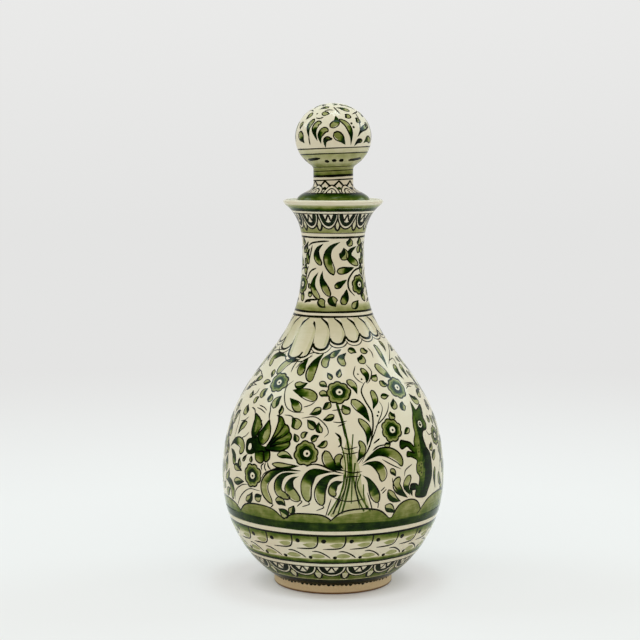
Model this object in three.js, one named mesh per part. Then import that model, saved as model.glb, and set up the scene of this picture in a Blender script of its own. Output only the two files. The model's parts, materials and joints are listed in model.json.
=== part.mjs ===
// A round-bellied earthenware carafe with a loose hollow stopper, as it comes from the mould:
// two cast pieces, each a wall of even thickness turned about the Z axis.
// Millimetres, +Z up, with the origin on the table under the middle of the foot.
import * as THREE from "three";

// Foot: a plain ring, hollow underneath
const FOOT_RADIUS = 36;
const FOOT_HEIGHT = 6.5;
const FOOT_RING_WIDTH = 7;
const FOOT_RECESS = 3;
const FOOT_EDGE = 1;
const FOOT_FILLET = 2;

// Belly, shoulder and neck: one swelling curve from the foot to the flared lip
const BELLY_RADIUS = 67.5;
const BELLY_HEIGHT = 66;
const SHOULDER_RADIUS = 36.4;
const SHOULDER_HEIGHT = 143.5;
const SHOULDER_SLOPE = THREE.MathUtils.degToRad(53.5);
const NECK_RADIUS = 18.6;
const NECK_HEIGHT = 204.5;
const LIP_RADIUS = 30.2;
const LIP_HEIGHT = 233.4;
const LIP_THICKNESS = 2.8;
const LIP_SLOPE = THREE.MathUtils.degToRad(35.5);

// How far each curve holds its end's direction, as a share of the curve's chord
const BELLY_FULLNESS = 0.445;
const SHOULDER_FULLNESS = 0.34;
const THROAT_FULLNESS = 0.32;
const NECK_FULLNESS = 0.52;
const FLARE_FULLNESS = 0.29;
const LIP_FULLNESS = 0.39;
const FLANGE_FULLNESS = 0.38;
const STEM_FULLNESS = 0.34;

// Cast wall, floor and the rounding where they meet inside
const WALL = 4.2;
const FLOOR_THICKNESS = 5;
const FLOOR_ROUND = 7;

// Stopper: a flattened ball on a stem, a flange that seats in the mouth, and a plug
const KNOB_RADIUS = 22.9;
const KNOB_HALF_HEIGHT = 20.5;
const KNOB_FILLET = 3;
const STEM_RADIUS = 12;
const STEM_LENGTH = 10.3;
const SKIRT_HEIGHT = 10.4;
const FLANGE_RADIUS = 22.2;
const FLANGE_THICKNESS = 5.2;
const FLANGE_EDGE = 1;
const PLUG_LENGTH = 21;
const PLUG_TAPER = 1.4;
const PLUG_EDGE = 1;
const STOPPER_WALL = 4;
const STEM_WALL = 3;

// Fits between the two pieces
const SEAT_GAP = 0.3;
const PLUG_CLEARANCE = 1.2;

// Facets round each piece, and steps along the curves and the small roundings
const BODY_FACETS = 48;
const STOPPER_FACETS = 40;
const LONG_STEPS = 10;
const SHORT_STEPS = 7;
const ROUND_STEPS = 3;

const GLAZE = { roughness: 0.18, metalness: 0 };
const ivoryGlaze = new THREE.MeshStandardMaterial({ color: 0xd9cdb4, ...GLAZE });
const greenGlaze = new THREE.MeshStandardMaterial({ color: 0xaeb389, ...GLAZE });

const point = (radius, height) => new THREE.Vector2(radius, height);
const along = (slope, length) => point(length * Math.cos(slope), length * Math.sin(slope));

// An outline of a turned piece, drawn stretch by stretch as points of radius and height.
class Outline {
  constructor(start) {
    this.points = [start];
  }

  line(...corners) {
    this.points.push(...corners);
    return this;
  }

  curve(curve, steps) {
    this.points.push(...curve.getPoints(steps).slice(1));
    return this;
  }

  // Turns from the last point to the end round a corner that lies between them.
  round(corner, end, steps = ROUND_STEPS) {
    const start = this.points.at(-1);
    return this.curve(new THREE.QuadraticBezierCurve(start, corner, end), steps);
  }

  // Rounds a corner by the same distance before and after it, on the way to the point beyond.
  corner(at, beyond, size) {
    const before = at.clone().add(this.points.at(-1).clone().sub(at).setLength(size));
    const after = at.clone().add(beyond.clone().sub(at).setLength(size));
    return this.line(before).round(at, after);
  }

  turned(facets) {
    return new THREE.LatheGeometry(this.points, facets).rotateX(Math.PI / 2);
  }
}

const ellipseArc = (height, radius, halfHeight, from, to) =>
  new THREE.EllipseCurve(0, height, radius, halfHeight, from, to, to < from, 0);

// A curve between two points that leaves and arrives along the given slopes.
function swell(start, startSlope, startFullness, end, endSlope, endFullness) {
  const chord = start.distanceTo(end);
  const leave = start.clone().add(along(startSlope, chord * startFullness));
  const arrive = end.clone().sub(along(endSlope, chord * endFullness));
  return new THREE.CubicBezierCurve(start, leave, arrive, end);
}

// Points of a rising curve moved in by the wall's thickness, from its top to its bottom.
function insideOf(curve, steps) {
  const inner = [];
  for (let i = steps; i >= 0; i -= 1) {
    const tangent = curve.getTangent(i / steps);
    const inward = point(-tangent.y, tangent.x).multiplyScalar(WALL);
    inner.push(curve.getPoint(i / steps).add(inward));
  }
  return inner;
}

const UPRIGHT = Math.PI / 2;
const shoulderSlope = Math.PI - SHOULDER_SLOPE;

// Outer curves of the body. The underside of the belly is part of an ellipse
// that is just deep enough to come down on the foot's fillet.
const footJoint = point(FOOT_RADIUS + FOOT_FILLET, FOOT_HEIGHT);
const jointAngle = Math.acos(footJoint.x / BELLY_RADIUS);
const undersideDepth = (BELLY_HEIGHT - footJoint.y) / Math.sin(jointAngle);
const underside = ellipseArc(BELLY_HEIGHT, BELLY_RADIUS, undersideDepth, -jointAngle, 0);

const waist = point(NECK_RADIUS, NECK_HEIGHT);
const turningPoint = point(SHOULDER_RADIUS, SHOULDER_HEIGHT);
const shoulder = swell(
  point(BELLY_RADIUS, BELLY_HEIGHT), UPRIGHT, BELLY_FULLNESS,
  turningPoint, shoulderSlope, SHOULDER_FULLNESS,
);
const throat = swell(
  turningPoint, shoulderSlope, THROAT_FULLNESS,
  waist, UPRIGHT, NECK_FULLNESS,
);

// The lip is rounded over, and the flare runs into it from below and from inside.
const lipRound = LIP_THICKNESS / 2;
const lipCentre = point(LIP_RADIUS - lipRound, LIP_HEIGHT - lipRound);
const lipEdge = new THREE.EllipseCurve(
  lipCentre.x, lipCentre.y, lipRound, lipRound,
  LIP_SLOPE - UPRIGHT, LIP_SLOPE + UPRIGHT, false, 0,
);
const flare = swell(
  waist, UPRIGHT, FLARE_FULLNESS,
  lipEdge.getPoint(0), LIP_SLOPE, LIP_FULLNESS,
);
const mouth = swell(
  point(NECK_RADIUS - WALL, NECK_HEIGHT), UPRIGHT, FLARE_FULLNESS,
  lipEdge.getPoint(1), LIP_SLOPE, LIP_FULLNESS,
);

// Inside of the belly's bottom, down to where it rounds into the flat floor
const floorHeight = FOOT_RECESS + FLOOR_THICKNESS;
const bowlRadius = BELLY_RADIUS - WALL;
const bowlDepth = undersideDepth - WALL;
const bowlRadiusAt = (height) =>
  bowlRadius * Math.sqrt(1 - ((BELLY_HEIGHT - height) / bowlDepth) ** 2);
const floorCorner = point(bowlRadiusAt(floorHeight), floorHeight);
const bowlEnd = Math.asin((BELLY_HEIGHT - floorHeight - FLOOR_ROUND / 2) / bowlDepth);
const bowl = ellipseArc(BELLY_HEIGHT, bowlRadius, bowlDepth, 0, -bowlEnd);

function carafeBody() {
  const ringInside = FOOT_RADIUS - FOOT_RING_WIDTH;
  const footTop = point(FOOT_RADIUS, FOOT_HEIGHT);
  return new Outline(point(0, FOOT_RECESS))
    .corner(point(ringInside, FOOT_RECESS), point(ringInside, 0), FOOT_EDGE)
    .corner(point(ringInside, 0), point(FOOT_RADIUS, 0), FOOT_EDGE)
    .corner(point(FOOT_RADIUS, 0), footTop, FOOT_EDGE)
    .line(point(FOOT_RADIUS, FOOT_HEIGHT - FOOT_FILLET))
    .round(footTop, footJoint)
    .curve(underside, LONG_STEPS)
    .curve(shoulder, LONG_STEPS)
    .curve(throat, LONG_STEPS)
    .curve(flare, SHORT_STEPS)
    .curve(lipEdge, 2 * ROUND_STEPS)
    .line(...mouth.getPoints(SHORT_STEPS).reverse().slice(1))
    .line(...insideOf(throat, SHORT_STEPS).slice(1))
    .line(...insideOf(shoulder, SHORT_STEPS).slice(1))
    .curve(bowl, SHORT_STEPS)
    .round(floorCorner, point(floorCorner.x - FLOOR_ROUND, floorHeight))
    .line(point(0, floorHeight))
    .turned(BODY_FACETS);
}

// Place on the inside of the flared mouth that has a given radius, with the wall's slope there.
function mouthAt(radius) {
  let low = 0;
  let high = 1;
  while (high - low > 1e-6) {
    const middle = (low + high) / 2;
    if (mouth.getPoint(middle).x < radius) low = middle;
    else high = middle;
  }
  return { place: mouth.getPoint(low), slope: mouth.getTangent(low).angle() };
}

// The stopper's flange meets the mouth at the middle of its edge. Its underside is a cone
// that runs along the mouth's wall there, and the plug hangs from the narrow end of the cone.
const seat = mouthAt(FLANGE_RADIUS - FLANGE_EDGE);
const seatLift = SEAT_GAP / Math.cos(seat.slope);
const stopperHeight = seat.place.y + seatLift;

function stopper() {
  const coneHeight = (radius) => (radius - seat.place.x) * Math.tan(seat.slope);
  const plugRadius = NECK_RADIUS - WALL - PLUG_CLEARANCE;
  const plugTop = point(plugRadius, coneHeight(plugRadius));
  const plugTip = point(plugRadius - PLUG_TAPER, plugTop.y - PLUG_LENGTH);
  const boreRadius = STEM_RADIUS - STEM_WALL;

  const flangeLow = point(FLANGE_RADIUS, coneHeight(FLANGE_RADIUS));
  const flangeHigh = point(FLANGE_RADIUS, FLANGE_THICKNESS);
  const stemFoot = point(STEM_RADIUS, FLANGE_THICKNESS + SKIRT_HEIGHT);
  const skirt = swell(flangeHigh, UPRIGHT, FLANGE_FULLNESS, stemFoot, UPRIGHT, STEM_FULLNESS);
  const stemTop = point(STEM_RADIUS, stemFoot.y + STEM_LENGTH);

  // The ball sits where its lower side narrows to the stem, and its hollow follows it.
  const neckAngle = (reach) => Math.acos(reach / KNOB_RADIUS);
  const knobCentre = stemTop.y + KNOB_HALF_HEIGHT * Math.sin(neckAngle(STEM_RADIUS));
  const knobStart = neckAngle(STEM_RADIUS + KNOB_FILLET / 2);
  const knob = ellipseArc(knobCentre, KNOB_RADIUS, KNOB_HALF_HEIGHT, -knobStart, UPRIGHT);
  const hollowRadius = KNOB_RADIUS - STOPPER_WALL;
  const hollow = ellipseArc(
    knobCentre, hollowRadius, KNOB_HALF_HEIGHT - STOPPER_WALL,
    UPRIGHT, -Math.acos(boreRadius / hollowRadius),
  );

  const tipInside = point(boreRadius, plugTip.y);
  return new Outline(hollow.getPoint(0))
    .curve(hollow, LONG_STEPS)
    .corner(tipInside, plugTip, PLUG_EDGE)
    .corner(plugTip, plugTop, PLUG_EDGE)
    .corner(plugTop, flangeLow, PLUG_EDGE)
    .corner(flangeLow, flangeHigh, FLANGE_EDGE / 2)
    .line(flangeHigh)
    .curve(skirt, SHORT_STEPS)
    .line(point(STEM_RADIUS, stemTop.y - KNOB_FILLET / 2))
    .round(stemTop, knob.getPoint(0))
    .curve(knob, LONG_STEPS + ROUND_STEPS)
    .turned(STOPPER_FACETS);
}

const bodyMesh = new THREE.Mesh(carafeBody(), ivoryGlaze);
bodyMesh.name = "carafe_body";

const stopperMesh = new THREE.Mesh(stopper(), greenGlaze);
stopperMesh.name = "stopper";
stopperMesh.position.z = stopperHeight;

const carafe = new THREE.Group();
carafe.add(bodyMesh, stopperMesh);

export default carafe;
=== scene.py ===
import json
import math

import bmesh
import bpy
import numpy as np
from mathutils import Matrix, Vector
from mathutils.geometry import delaunay_2d_cdt

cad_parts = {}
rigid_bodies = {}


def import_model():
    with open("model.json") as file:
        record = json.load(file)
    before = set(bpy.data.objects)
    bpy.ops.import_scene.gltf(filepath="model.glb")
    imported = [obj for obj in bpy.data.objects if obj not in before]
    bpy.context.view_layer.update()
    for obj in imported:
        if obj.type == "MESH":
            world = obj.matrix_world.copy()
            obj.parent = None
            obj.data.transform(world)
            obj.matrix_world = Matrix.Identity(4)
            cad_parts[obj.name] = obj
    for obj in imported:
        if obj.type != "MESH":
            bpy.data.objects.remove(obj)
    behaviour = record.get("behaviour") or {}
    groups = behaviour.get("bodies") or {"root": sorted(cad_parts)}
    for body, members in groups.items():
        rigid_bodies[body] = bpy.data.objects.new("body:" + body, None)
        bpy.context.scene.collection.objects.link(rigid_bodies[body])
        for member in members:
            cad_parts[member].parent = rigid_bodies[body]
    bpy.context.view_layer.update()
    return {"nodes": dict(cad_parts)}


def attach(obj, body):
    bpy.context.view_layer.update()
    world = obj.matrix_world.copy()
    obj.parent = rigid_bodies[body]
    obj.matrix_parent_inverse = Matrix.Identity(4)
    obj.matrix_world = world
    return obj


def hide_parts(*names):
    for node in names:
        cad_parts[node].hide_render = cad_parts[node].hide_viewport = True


for left_over in list(bpy.data.objects):
    bpy.data.objects.remove(left_over)

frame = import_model()

MM = 0.001

# Amounts of pigment. 1 of green is a thin wash, and the colour deepens as more lies on top of it.
LIGHT = 1.0
DEEP = 3.8
DARK = 5.8
INK = 1.3
# The first coat of green is olive and at most this thick. What lies over it is a cooler green.
WASH_DEPTH = 1.5

# Brush lines, in millimetres on the piece
FINE_LINE = 0.7
PLAIN_LINE = 0.95
BOLD_LINE = 1.3
# Share of a line over which the brush is pressed down or lifted
PRESS_RUN = 0.3
# How much the brush's width comes and goes along a line, a stem, a dot's rim and a leaf's edge
LINE_WAVER, STEM_WAVER, DOT_WAVER, LEAF_WAVER = 0.16, 0.2, 0.12, 0.08

# How a leaf swells from its root and closes at its tip: the larger number is the slower end.
LEAF = (1.0, 0.55)
SICKLE = (1.35, 0.6)
BUD = (0.85, 0.45)

# A round flower's petals, and the thin wash on them
PETALS = 8
PETAL_WASH = 1.3


# Lines and shapes on the flat sheet

def bend(points, steps=6):
    """A smooth line through a few points, as many close points."""
    knots = np.array(points, float)
    padded = np.vstack([2 * knots[0] - knots[1], knots, 2 * knots[-1] - knots[-2]])
    share = np.linspace(0, 1, steps, endpoint=False)[:, None]
    spans = []
    for a, b, c, d in zip(padded, padded[1:], padded[2:], padded[3:]):
        cubic = 3 * (b - c) + d - a
        square = 2 * a - 5 * b + 4 * c - d
        spans.append(b + 0.5 * share * (c - a + share * (square + share * cubic)))
    return np.vstack(spans + [knots[-1:]])


def patch(*points):
    """A smooth closed outline through a few points."""
    return bend([*points, points[0]])


def shares(path):
    """How far along a line each of its points lies, from 0 to 1."""
    run = np.r_[0, np.cumsum(np.linalg.norm(np.diff(path, axis=0), axis=1))]
    return run / run[-1]


def sides(path, half):
    """The two edges of a band that follows a line."""
    way = np.gradient(path, axis=0)
    across = np.c_[-way[:, 1], way[:, 0]] / np.linalg.norm(way, axis=1)[:, None]
    return path + across * half[:, None], path - across * half[:, None]


def closed(left, right):
    """One outline from the two edges of a band."""
    return np.vstack([left, right[::-1]])


def ring(x, y, radius, points=14):
    """A round outline. The radius is a number, or one for each point."""
    turn = np.linspace(0, 2 * math.pi, points)
    return np.c_[x + radius * np.cos(turn), y + radius * np.sin(turn)]


def encloses(outline, points):
    """Which points lie inside a closed outline, by how often it winds round them."""
    x, y = points[:, :1], points[:, 1:]
    x0, y0 = outline.T
    x1, y1 = np.roll(outline, -1, axis=0).T
    left = (x1 - x0) * (y - y0) - (x - x0) * (y1 - y0)
    up = (y0 <= y) & (y1 > y) & (left > 0)
    down = (y0 > y) & (y1 <= y) & (left < 0)
    return up.sum(1) != down.sum(1)


# The turned pieces

class Turned:
    """A turned solid's outline, smoothed, with its outside laid out as a flat sheet.

    Across the sheet runs the way round the piece, with 0 at the front, and up it the way along the
    outline, stretched so that angles stay true. One unit is a millimetre at the widest place.
    """

    # Points on the smoothed outline for each of the solid's, and the step among them where nothing is painted
    STEPS = 8
    LATHE_STEP = 4
    # A stretch this many times as long as the next one keeps its own way where they meet.
    LONGER = 2.5
    # The sheet stays further than this from the axis, in millimetres.
    POLE = 1.6
    # An outline that widens by less than this at a step, in millimetres, is upright.
    UPRIGHT = 1e-4
    # Points closer than this are one point: on the solid in metres, and on the sheet in its units
    WELD = 1e-6
    TOUCH = 1e-3
    # Shares of the texture's height for the underside, the painted outside and the inside
    UV_UNDER = (0.005, 0.06)
    UV_SKIN = (0.07, 0.86)
    UV_INSIDE = (0.87, 0.995)

    def __init__(self, node, columns):
        self.columns = columns
        self.smooth(self.meridian(node))
        self.start = int(np.argmin(self.height))
        widens = np.diff(self.radius) > self.UPRIGHT
        while widens[self.start] or self.radius[self.start] < 2 * self.POLE:
            self.start += 1
        self.end = int(np.argmax(self.height))
        while self.radius[self.end] < self.POLE:
            self.end -= 1
        self.lay_flat()

    def meridian(self, node):
        """Radius and height, in millimetres, of the solid's outline at the front, from end to end."""
        work = bmesh.new()
        work.from_mesh(node.data)
        bmesh.ops.remove_doubles(work, verts=work.verts, dist=self.WELD)
        front = {v for v in work.verts if abs(v.co.x) < self.WELD and v.co.y < self.WELD}
        nearby = {v: [e.other_vert(v) for e in v.link_edges if e.other_vert(v) in front] for v in front}
        at = min((v for v in front if len(nearby[v]) == 1), key=lambda v: v.co.z)
        walk = [at]
        while len(walk) < len(front):
            at = next(v for v in nearby[at] if v not in walk[-2:])
            walk.append(at)
        points = np.array([(-v.co.y, v.co.z) for v in walk]) / MM
        work.free()
        return points

    def smooth(self, points):
        """Draws a curve through the outline's points, and notes its length so far and its outward way."""
        chords = np.diff(points, axis=0)
        lengths = np.linalg.norm(chords, axis=1)
        ways = chords / lengths[:, None]
        before, after = lengths[:-1], lengths[1:]
        share = after / (before + after)
        share[after > self.LONGER * before] = 0
        share[before > self.LONGER * after] = 1
        turns = share[:, None] * ways[:-1] + (1 - share)[:, None] * ways[1:]
        turns = np.vstack([(1, 0), turns / np.linalg.norm(turns, axis=1)[:, None], (-1, 0)])
        t = np.linspace(0, 1, self.STEPS, endpoint=False)[None, :, None]
        a, b = points[:-1, None], points[1:, None]
        leave = turns[:-1, None] * lengths[:, None, None]
        arrive = turns[1:, None] * lengths[:, None, None]
        place = ((2 * t - 3) * t * t + 1) * a + (3 - 2 * t) * t * t * b
        place = place + ((t - 2) * t + 1) * t * leave + (t - 1) * t * t * arrive
        way = 6 * t * (1 - t) * (b - a) + ((3 * t - 4) * t + 1) * leave + (3 * t - 2) * t * arrive
        place = np.vstack([place.reshape(-1, 2), points[-1:]])
        way = np.vstack([way.reshape(-1, 2), turns[-1:]])
        way = way / np.linalg.norm(way, axis=1)[:, None]
        self.radius, self.height = place.T
        self.out = np.c_[way[:, 1], -way[:, 0]]
        self.run = np.r_[0, np.cumsum(np.linalg.norm(np.diff(place, axis=0), axis=1))]

    def lay_flat(self):
        """Works out how high each place on the outside lies on the flat sheet."""
        skin = slice(self.start, self.end + 1)
        radius, run = self.radius[skin], self.run[skin]
        self.widest = radius.max()
        slope = self.widest / radius
        rise = np.r_[0, np.cumsum(0.5 * (slope[1:] + slope[:-1]) * np.diff(run))]
        self.rise = rise - rise[radius.argmax()]
        self.low, self.high = self.rise[0], self.rise[-1]
        self.half = math.pi * self.widest

    def along(self, rise, values):
        """One of the outline's measures at heights on the sheet."""
        return np.interp(rise, self.rise, values[self.start:self.end + 1])

    def units(self, rise):
        """Units of the sheet in a millimetre on the piece."""
        return self.widest / self.along(rise, self.radius)

    def rise_at(self, height):
        """Where a height of the piece, in millimetres, lies on the sheet."""
        return float(np.interp(height, self.height[self.start:self.end + 1], self.rise))

    @staticmethod
    def wrapped(angle, radius, height):
        """Places round the axis, in metres. Angle 0 is the front."""
        return np.c_[radius * np.sin(angle), -radius * np.cos(angle), height] * MM

    @staticmethod
    def faced(angle, out):
        """The outline's outward ways, turned round the axis."""
        return np.c_[out[:, 0] * np.sin(angle), -out[:, 0] * np.cos(angle), out[:, 1]]

    def joined(self, flat):
        """The number of each point of the sheet, once its two upright edges have met at the back."""
        twin = np.arange(len(flat))
        seam = np.flatnonzero(np.abs(np.abs(flat[:, 0]) - self.half) < self.TOUCH)
        seam = seam[flat[seam, 1].argsort()]
        group = np.cumsum(np.r_[True, np.diff(flat[seam, 1]) > self.TOUCH]) - 1
        twin[seam] = seam[np.unique(group, return_index=True)[1]][group]
        return twin

    def rim(self, flat, rise):
        """The points along the sheet's lower or upper edge, from the left to the right."""
        level = np.abs(flat[:, 1] - rise) < self.TOUCH
        within = np.abs(flat[:, 0]) < self.half + self.TOUCH
        points = np.flatnonzero(level & within)
        return points[flat[points, 0].argsort()]

    def rings(self, rows, rims, count):
        """Rings of points along a stretch without painting: their numbers, places and outward ways."""
        turn = np.linspace(-math.pi, math.pi, self.columns + 1)[:-1]
        numbers, points, normals = [], [], []
        for row in rows:
            if row in rims:
                numbers.append(rims[row])
            elif row in (0, len(self.radius) - 1):
                numbers.append(np.full(self.columns + 1, count))
                points.append(np.array([(0, 0, self.height[row] * MM)]))
                normals.append(np.array([(0, 0, self.out[row, 1])]))
                count += 1
            else:
                numbers.append(count + np.arange(self.columns + 1) % self.columns)
                points.append(self.wrapped(turn, self.radius[row], np.full(self.columns, self.height[row])))
                normals.append(self.faced(turn, np.repeat(self.out[row:row + 1], self.columns, 0)))
                count += self.columns
        return numbers, points, normals

    def filled(self, numbers, level):
        """Faces between each two rings, and the places of their corners on the texture."""
        faces, uv = [], []
        for lower, upper, low_v, high_v in zip(numbers, numbers[1:], level, level[1:]):
            for j in range(self.columns):
                u0, u1 = j / self.columns, (j + 1) / self.columns
                middle = (u0 + u1) / 2
                if lower[j] == lower[j + 1]:
                    faces.append([lower[j], upper[j + 1], upper[j]])
                    uv += [(middle, low_v), (u1, high_v), (u0, high_v)]
                elif upper[j] == upper[j + 1]:
                    faces.append([lower[j], lower[j + 1], upper[j]])
                    uv += [(u0, low_v), (u1, low_v), (middle, high_v)]
                else:
                    faces.append([lower[j], lower[j + 1], upper[j + 1], upper[j]])
                    uv += [(u0, low_v), (u1, low_v), (u1, high_v), (u0, high_v)]
        return faces, uv

    def mesh(self, name, sheet, materials):
        """Wraps the painted sheet round the outline, and closes it underneath and inside."""
        flat, triangles = sheet.triangles()
        twin = self.joined(flat)
        a, b, c = twin[triangles].T
        triangles = triangles[(a != b) & (b != c) & (c != a)]
        faces = twin[triangles].tolist()
        corners = flat[triangles]
        paint = sheet.painted(corners)
        is_clay = (paint["clay"].mean(1) > 0.5).tolist()

        across, up = flat.T
        angle = across / self.widest
        points = [self.wrapped(angle, self.along(up, self.radius), self.along(up, self.height))]
        out = np.c_[self.along(up, self.out[:, 0]), self.along(up, self.out[:, 1])]
        normals = [self.faced(angle, out)]

        arc = self.along(corners[..., 1], self.run)
        arc = (arc - self.run[self.start]) / (self.run[self.end] - self.run[self.start])
        u = corners[..., 0] / (2 * self.half) + 0.5
        v = self.UV_SKIN[0] + arc * (self.UV_SKIN[1] - self.UV_SKIN[0])
        uv = [np.stack([u, v], -1).reshape(-1, 2)]

        rims = {self.start: twin[self.rim(flat, self.low)], self.end: twin[self.rim(flat, self.high)]}
        last = len(self.radius) - 1
        for first, final, (uv_low, uv_high), is_bare in (
            (0, self.start, self.UV_UNDER, True),
            (self.end, last, self.UV_INSIDE, False),
        ):
            rows = [*range(first, final, self.LATHE_STEP), final]
            run = self.run[rows]
            level = uv_low + (uv_high - uv_low) * (run - run[0]) / (run[-1] - run[0])
            numbers, ring_points, ring_normals = self.rings(rows, rims, sum(map(len, points)))
            ring_faces, ring_uv = self.filled(numbers, level)
            points += ring_points
            normals += ring_normals
            faces += ring_faces
            uv.append(ring_uv)
            is_clay += [is_bare] * len(ring_faces)

        points, normals = np.vstack(points), np.vstack(normals)
        used = np.unique(np.concatenate(faces))
        renumbered = np.full(len(points), -1)
        renumbered[used] = np.arange(len(used))
        data = bpy.data.meshes.new(name)
        data.from_pydata(points[used].tolist(), [], [renumbered[face].tolist() for face in faces])
        for material in materials:
            data.materials.append(material)
        data.polygons.foreach_set("material_index", np.array(is_clay, np.int32))
        data.polygons.foreach_set("use_smooth", np.ones(len(faces), bool))
        layer = data.uv_layers.new(name="OFBake")
        layer.data.foreach_set("uv", np.vstack(uv).astype(np.float32).ravel())
        for pigment in ("green", "black"):
            amounts = np.zeros(len(data.loops), np.float32)
            amounts[:paint[pigment].size] = paint[pigment].ravel()
            data.attributes.new(pigment, "FLOAT", "CORNER").data.foreach_set("value", amounts)
        data.normals_split_custom_set_from_vertices(normals[used].tolist())
        piece = bpy.data.objects.new(name, data)
        bpy.context.scene.collection.objects.link(piece)
        return piece


class Sheet:
    """The painted marks on a piece's flat sheet, in the order in which the brush lays them.

    Places, leaves and buds are in the sheet's units, as (across, up). The widths of lines and stems are in
    millimetres on the piece.
    """

    # Points of the marks closer than this are one point where the sheet is cut.
    SAME_PLACE = 1e-5

    def __init__(self, turned, seed):
        self.turned = turned
        self.hand = np.random.default_rng(seed)
        self.marks = []
        self.stand(0)

    def stand(self, x, mirrored=False, rise=0.0):
        """Moves the painter round the piece: what follows is drawn about this place."""
        self.x = x
        self.side = -1 if mirrored else 1
        self.rise = rise

    def lay(self, outline, pigment, amount):
        """Fills an outline, in place of what lay there of that pigment.

        The amount is a number, a list of heights with the amount at each to fade between, or an array with
        the amount at each point of the outline.
        """
        outline = np.array(outline, float)
        outline[:, 0] = self.x + self.side * outline[:, 0]
        outline[:, 1] += self.rise
        if isinstance(amount, list):
            amount = [(height + self.rise, share) for height, share in amount]
        half = self.turned.half
        for shift in (-2 * half, 0, 2 * half):
            copy = outline + (shift, 0)
            if copy[:, 0].max() > -half and copy[:, 0].min() < half:
                self.marks.append((copy, pigment, amount))

    def wipe(self, outline):
        """Leaves the bare ivory ground inside an outline."""
        self.lay(outline, "green", 0)
        self.lay(outline, "black", 0)

    def waver(self, along, share, knots=6):
        """How the hand's pressure comes and goes along a stroke, about 1."""
        return 1 + share * np.interp(along, np.linspace(0, 1, knots), self.hand.uniform(-1, 1, knots))

    def trace(self, path, width=PLAIN_LINE, ends=(0.35, 0.35), amount=INK):
        """A brush line along close points, thinner where the brush comes down and lifts."""
        along = shares(path)
        press = np.minimum(ends[0] + along / PRESS_RUN, ends[1] + (1 - along) / PRESS_RUN).clip(max=1)
        waver = self.waver(along, LINE_WAVER)
        half = 0.5 * width * self.turned.units(path[:, 1]) * press * waver
        self.lay(closed(*sides(path, half)), "black", amount)

    def line(self, *points, width=PLAIN_LINE, ends=(0.35, 0.35), amount=INK):
        """A brush line through a few points."""
        self.trace(bend(points), width, ends, amount)

    def stem(self, *points, width=1.0, amount=DEEP):
        """A stroke of green, as wide as the brush."""
        path = bend(points)
        half = 0.5 * width * self.turned.units(path[:, 1])
        half = half * self.waver(shares(path), STEM_WAVER)
        self.lay(closed(*sides(path, half)), "green", amount)

    def dot(self, x, y, radius):
        """A dark dot, not quite round."""
        points = 10
        waver = self.waver(np.linspace(0, 1, points), DOT_WAVER, knots=5)
        self.lay(ring(x, y, radius * waver, points), "black", INK)

    def shade(self, *knots):
        """Fills a smooth shape whose points have an amount as a third number, and returns its outline."""
        path = patch(*knots)
        self.lay(path[:, :2], "green", path[:, 2].clip(0))
        return path[:, :2]

    def leaf(self, *spine, width, dark=0.5, light=LIGHT, fullness=LEAF, tail=None):
        """A leaf from its root to its tip: a full brush that runs dry on the way, inside a fine line.

        The dark part ends at a share of its length, and a tail goes on from the tip to a place.
        """
        path = bend(spine)
        along = shares(path)
        rise, fall = fullness
        crest = rise ** rise * fall ** fall / (rise + fall) ** (rise + fall)
        half = 0.5 * width * along ** rise * (1 - along) ** fall / crest
        half = half * self.waver(along, LEAF_WAVER, knots=5)
        left, right = sides(path, half)
        # The colour runs on further along one edge than along the other.
        lean = self.hand.uniform(-0.12, 0.12)
        turns_dry = (dark - 0.07, dark + 0.05)
        wet = [np.interp(along + shift, turns_dry, (DARK, light)) for shift in (lean, -lean)]
        # Past the full brush the wash keeps clear of one edge.
        loose = np.interp(along, (dark, dark + 0.12), (1, 0.72))
        near, far = self.hand.permutation([np.ones(len(along)), loose])
        fill = closed(sides(path, half * near)[0], sides(path, half * far)[1])
        self.lay(fill, "green", np.r_[wet[0], wet[1][::-1]])
        bold, fine = self.hand.permutation([PLAIN_LINE, FINE_LINE])
        edged = along >= 0.5 * dark
        self.trace(left[edged], bold, (0.1, 0.9))
        self.trace(right[edged], fine, (0.1, 0.9))
        if tail is not None:
            way = path[-1] - path[-2]
            onward = 0.3 * math.dist(path[-1], tail) / np.linalg.norm(way)
            self.line(path[-1], path[-1] + onward * way, tail, width=FINE_LINE)

    def drop(self, root, tip, width, dark=0.5, light=LIGHT, deep=DARK):
        """A small bud, pointed at the root and round at the tip, with a full brush down one side."""
        root, tip = np.array(root, float), np.array(tip, float)
        reach = tip - root
        bow = self.hand.uniform(-0.18, 0.18)
        way = self.hand.choice((-1, 1))
        middle = root + reach / 2 + np.array([-reach[1], reach[0]]) * bow
        path = bend((root, middle, tip))
        along = shares(path)
        half = 0.5 * width * np.sin(math.pi * along ** 1.5).clip(0) ** 0.8
        self.lay(closed(*sides(path, half)), "green", light)
        inner = np.interp(along, (0, 0.25, dark, 1), (-1, -0.5, 0.25, 0.9))
        self.lay(closed(sides(path, way * half)[0], sides(path, way * half * inner)[0]), "green", deep)
        for edge in sides(path, half):
            self.trace(edge, FINE_LINE, (0.4, 0.9))

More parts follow.
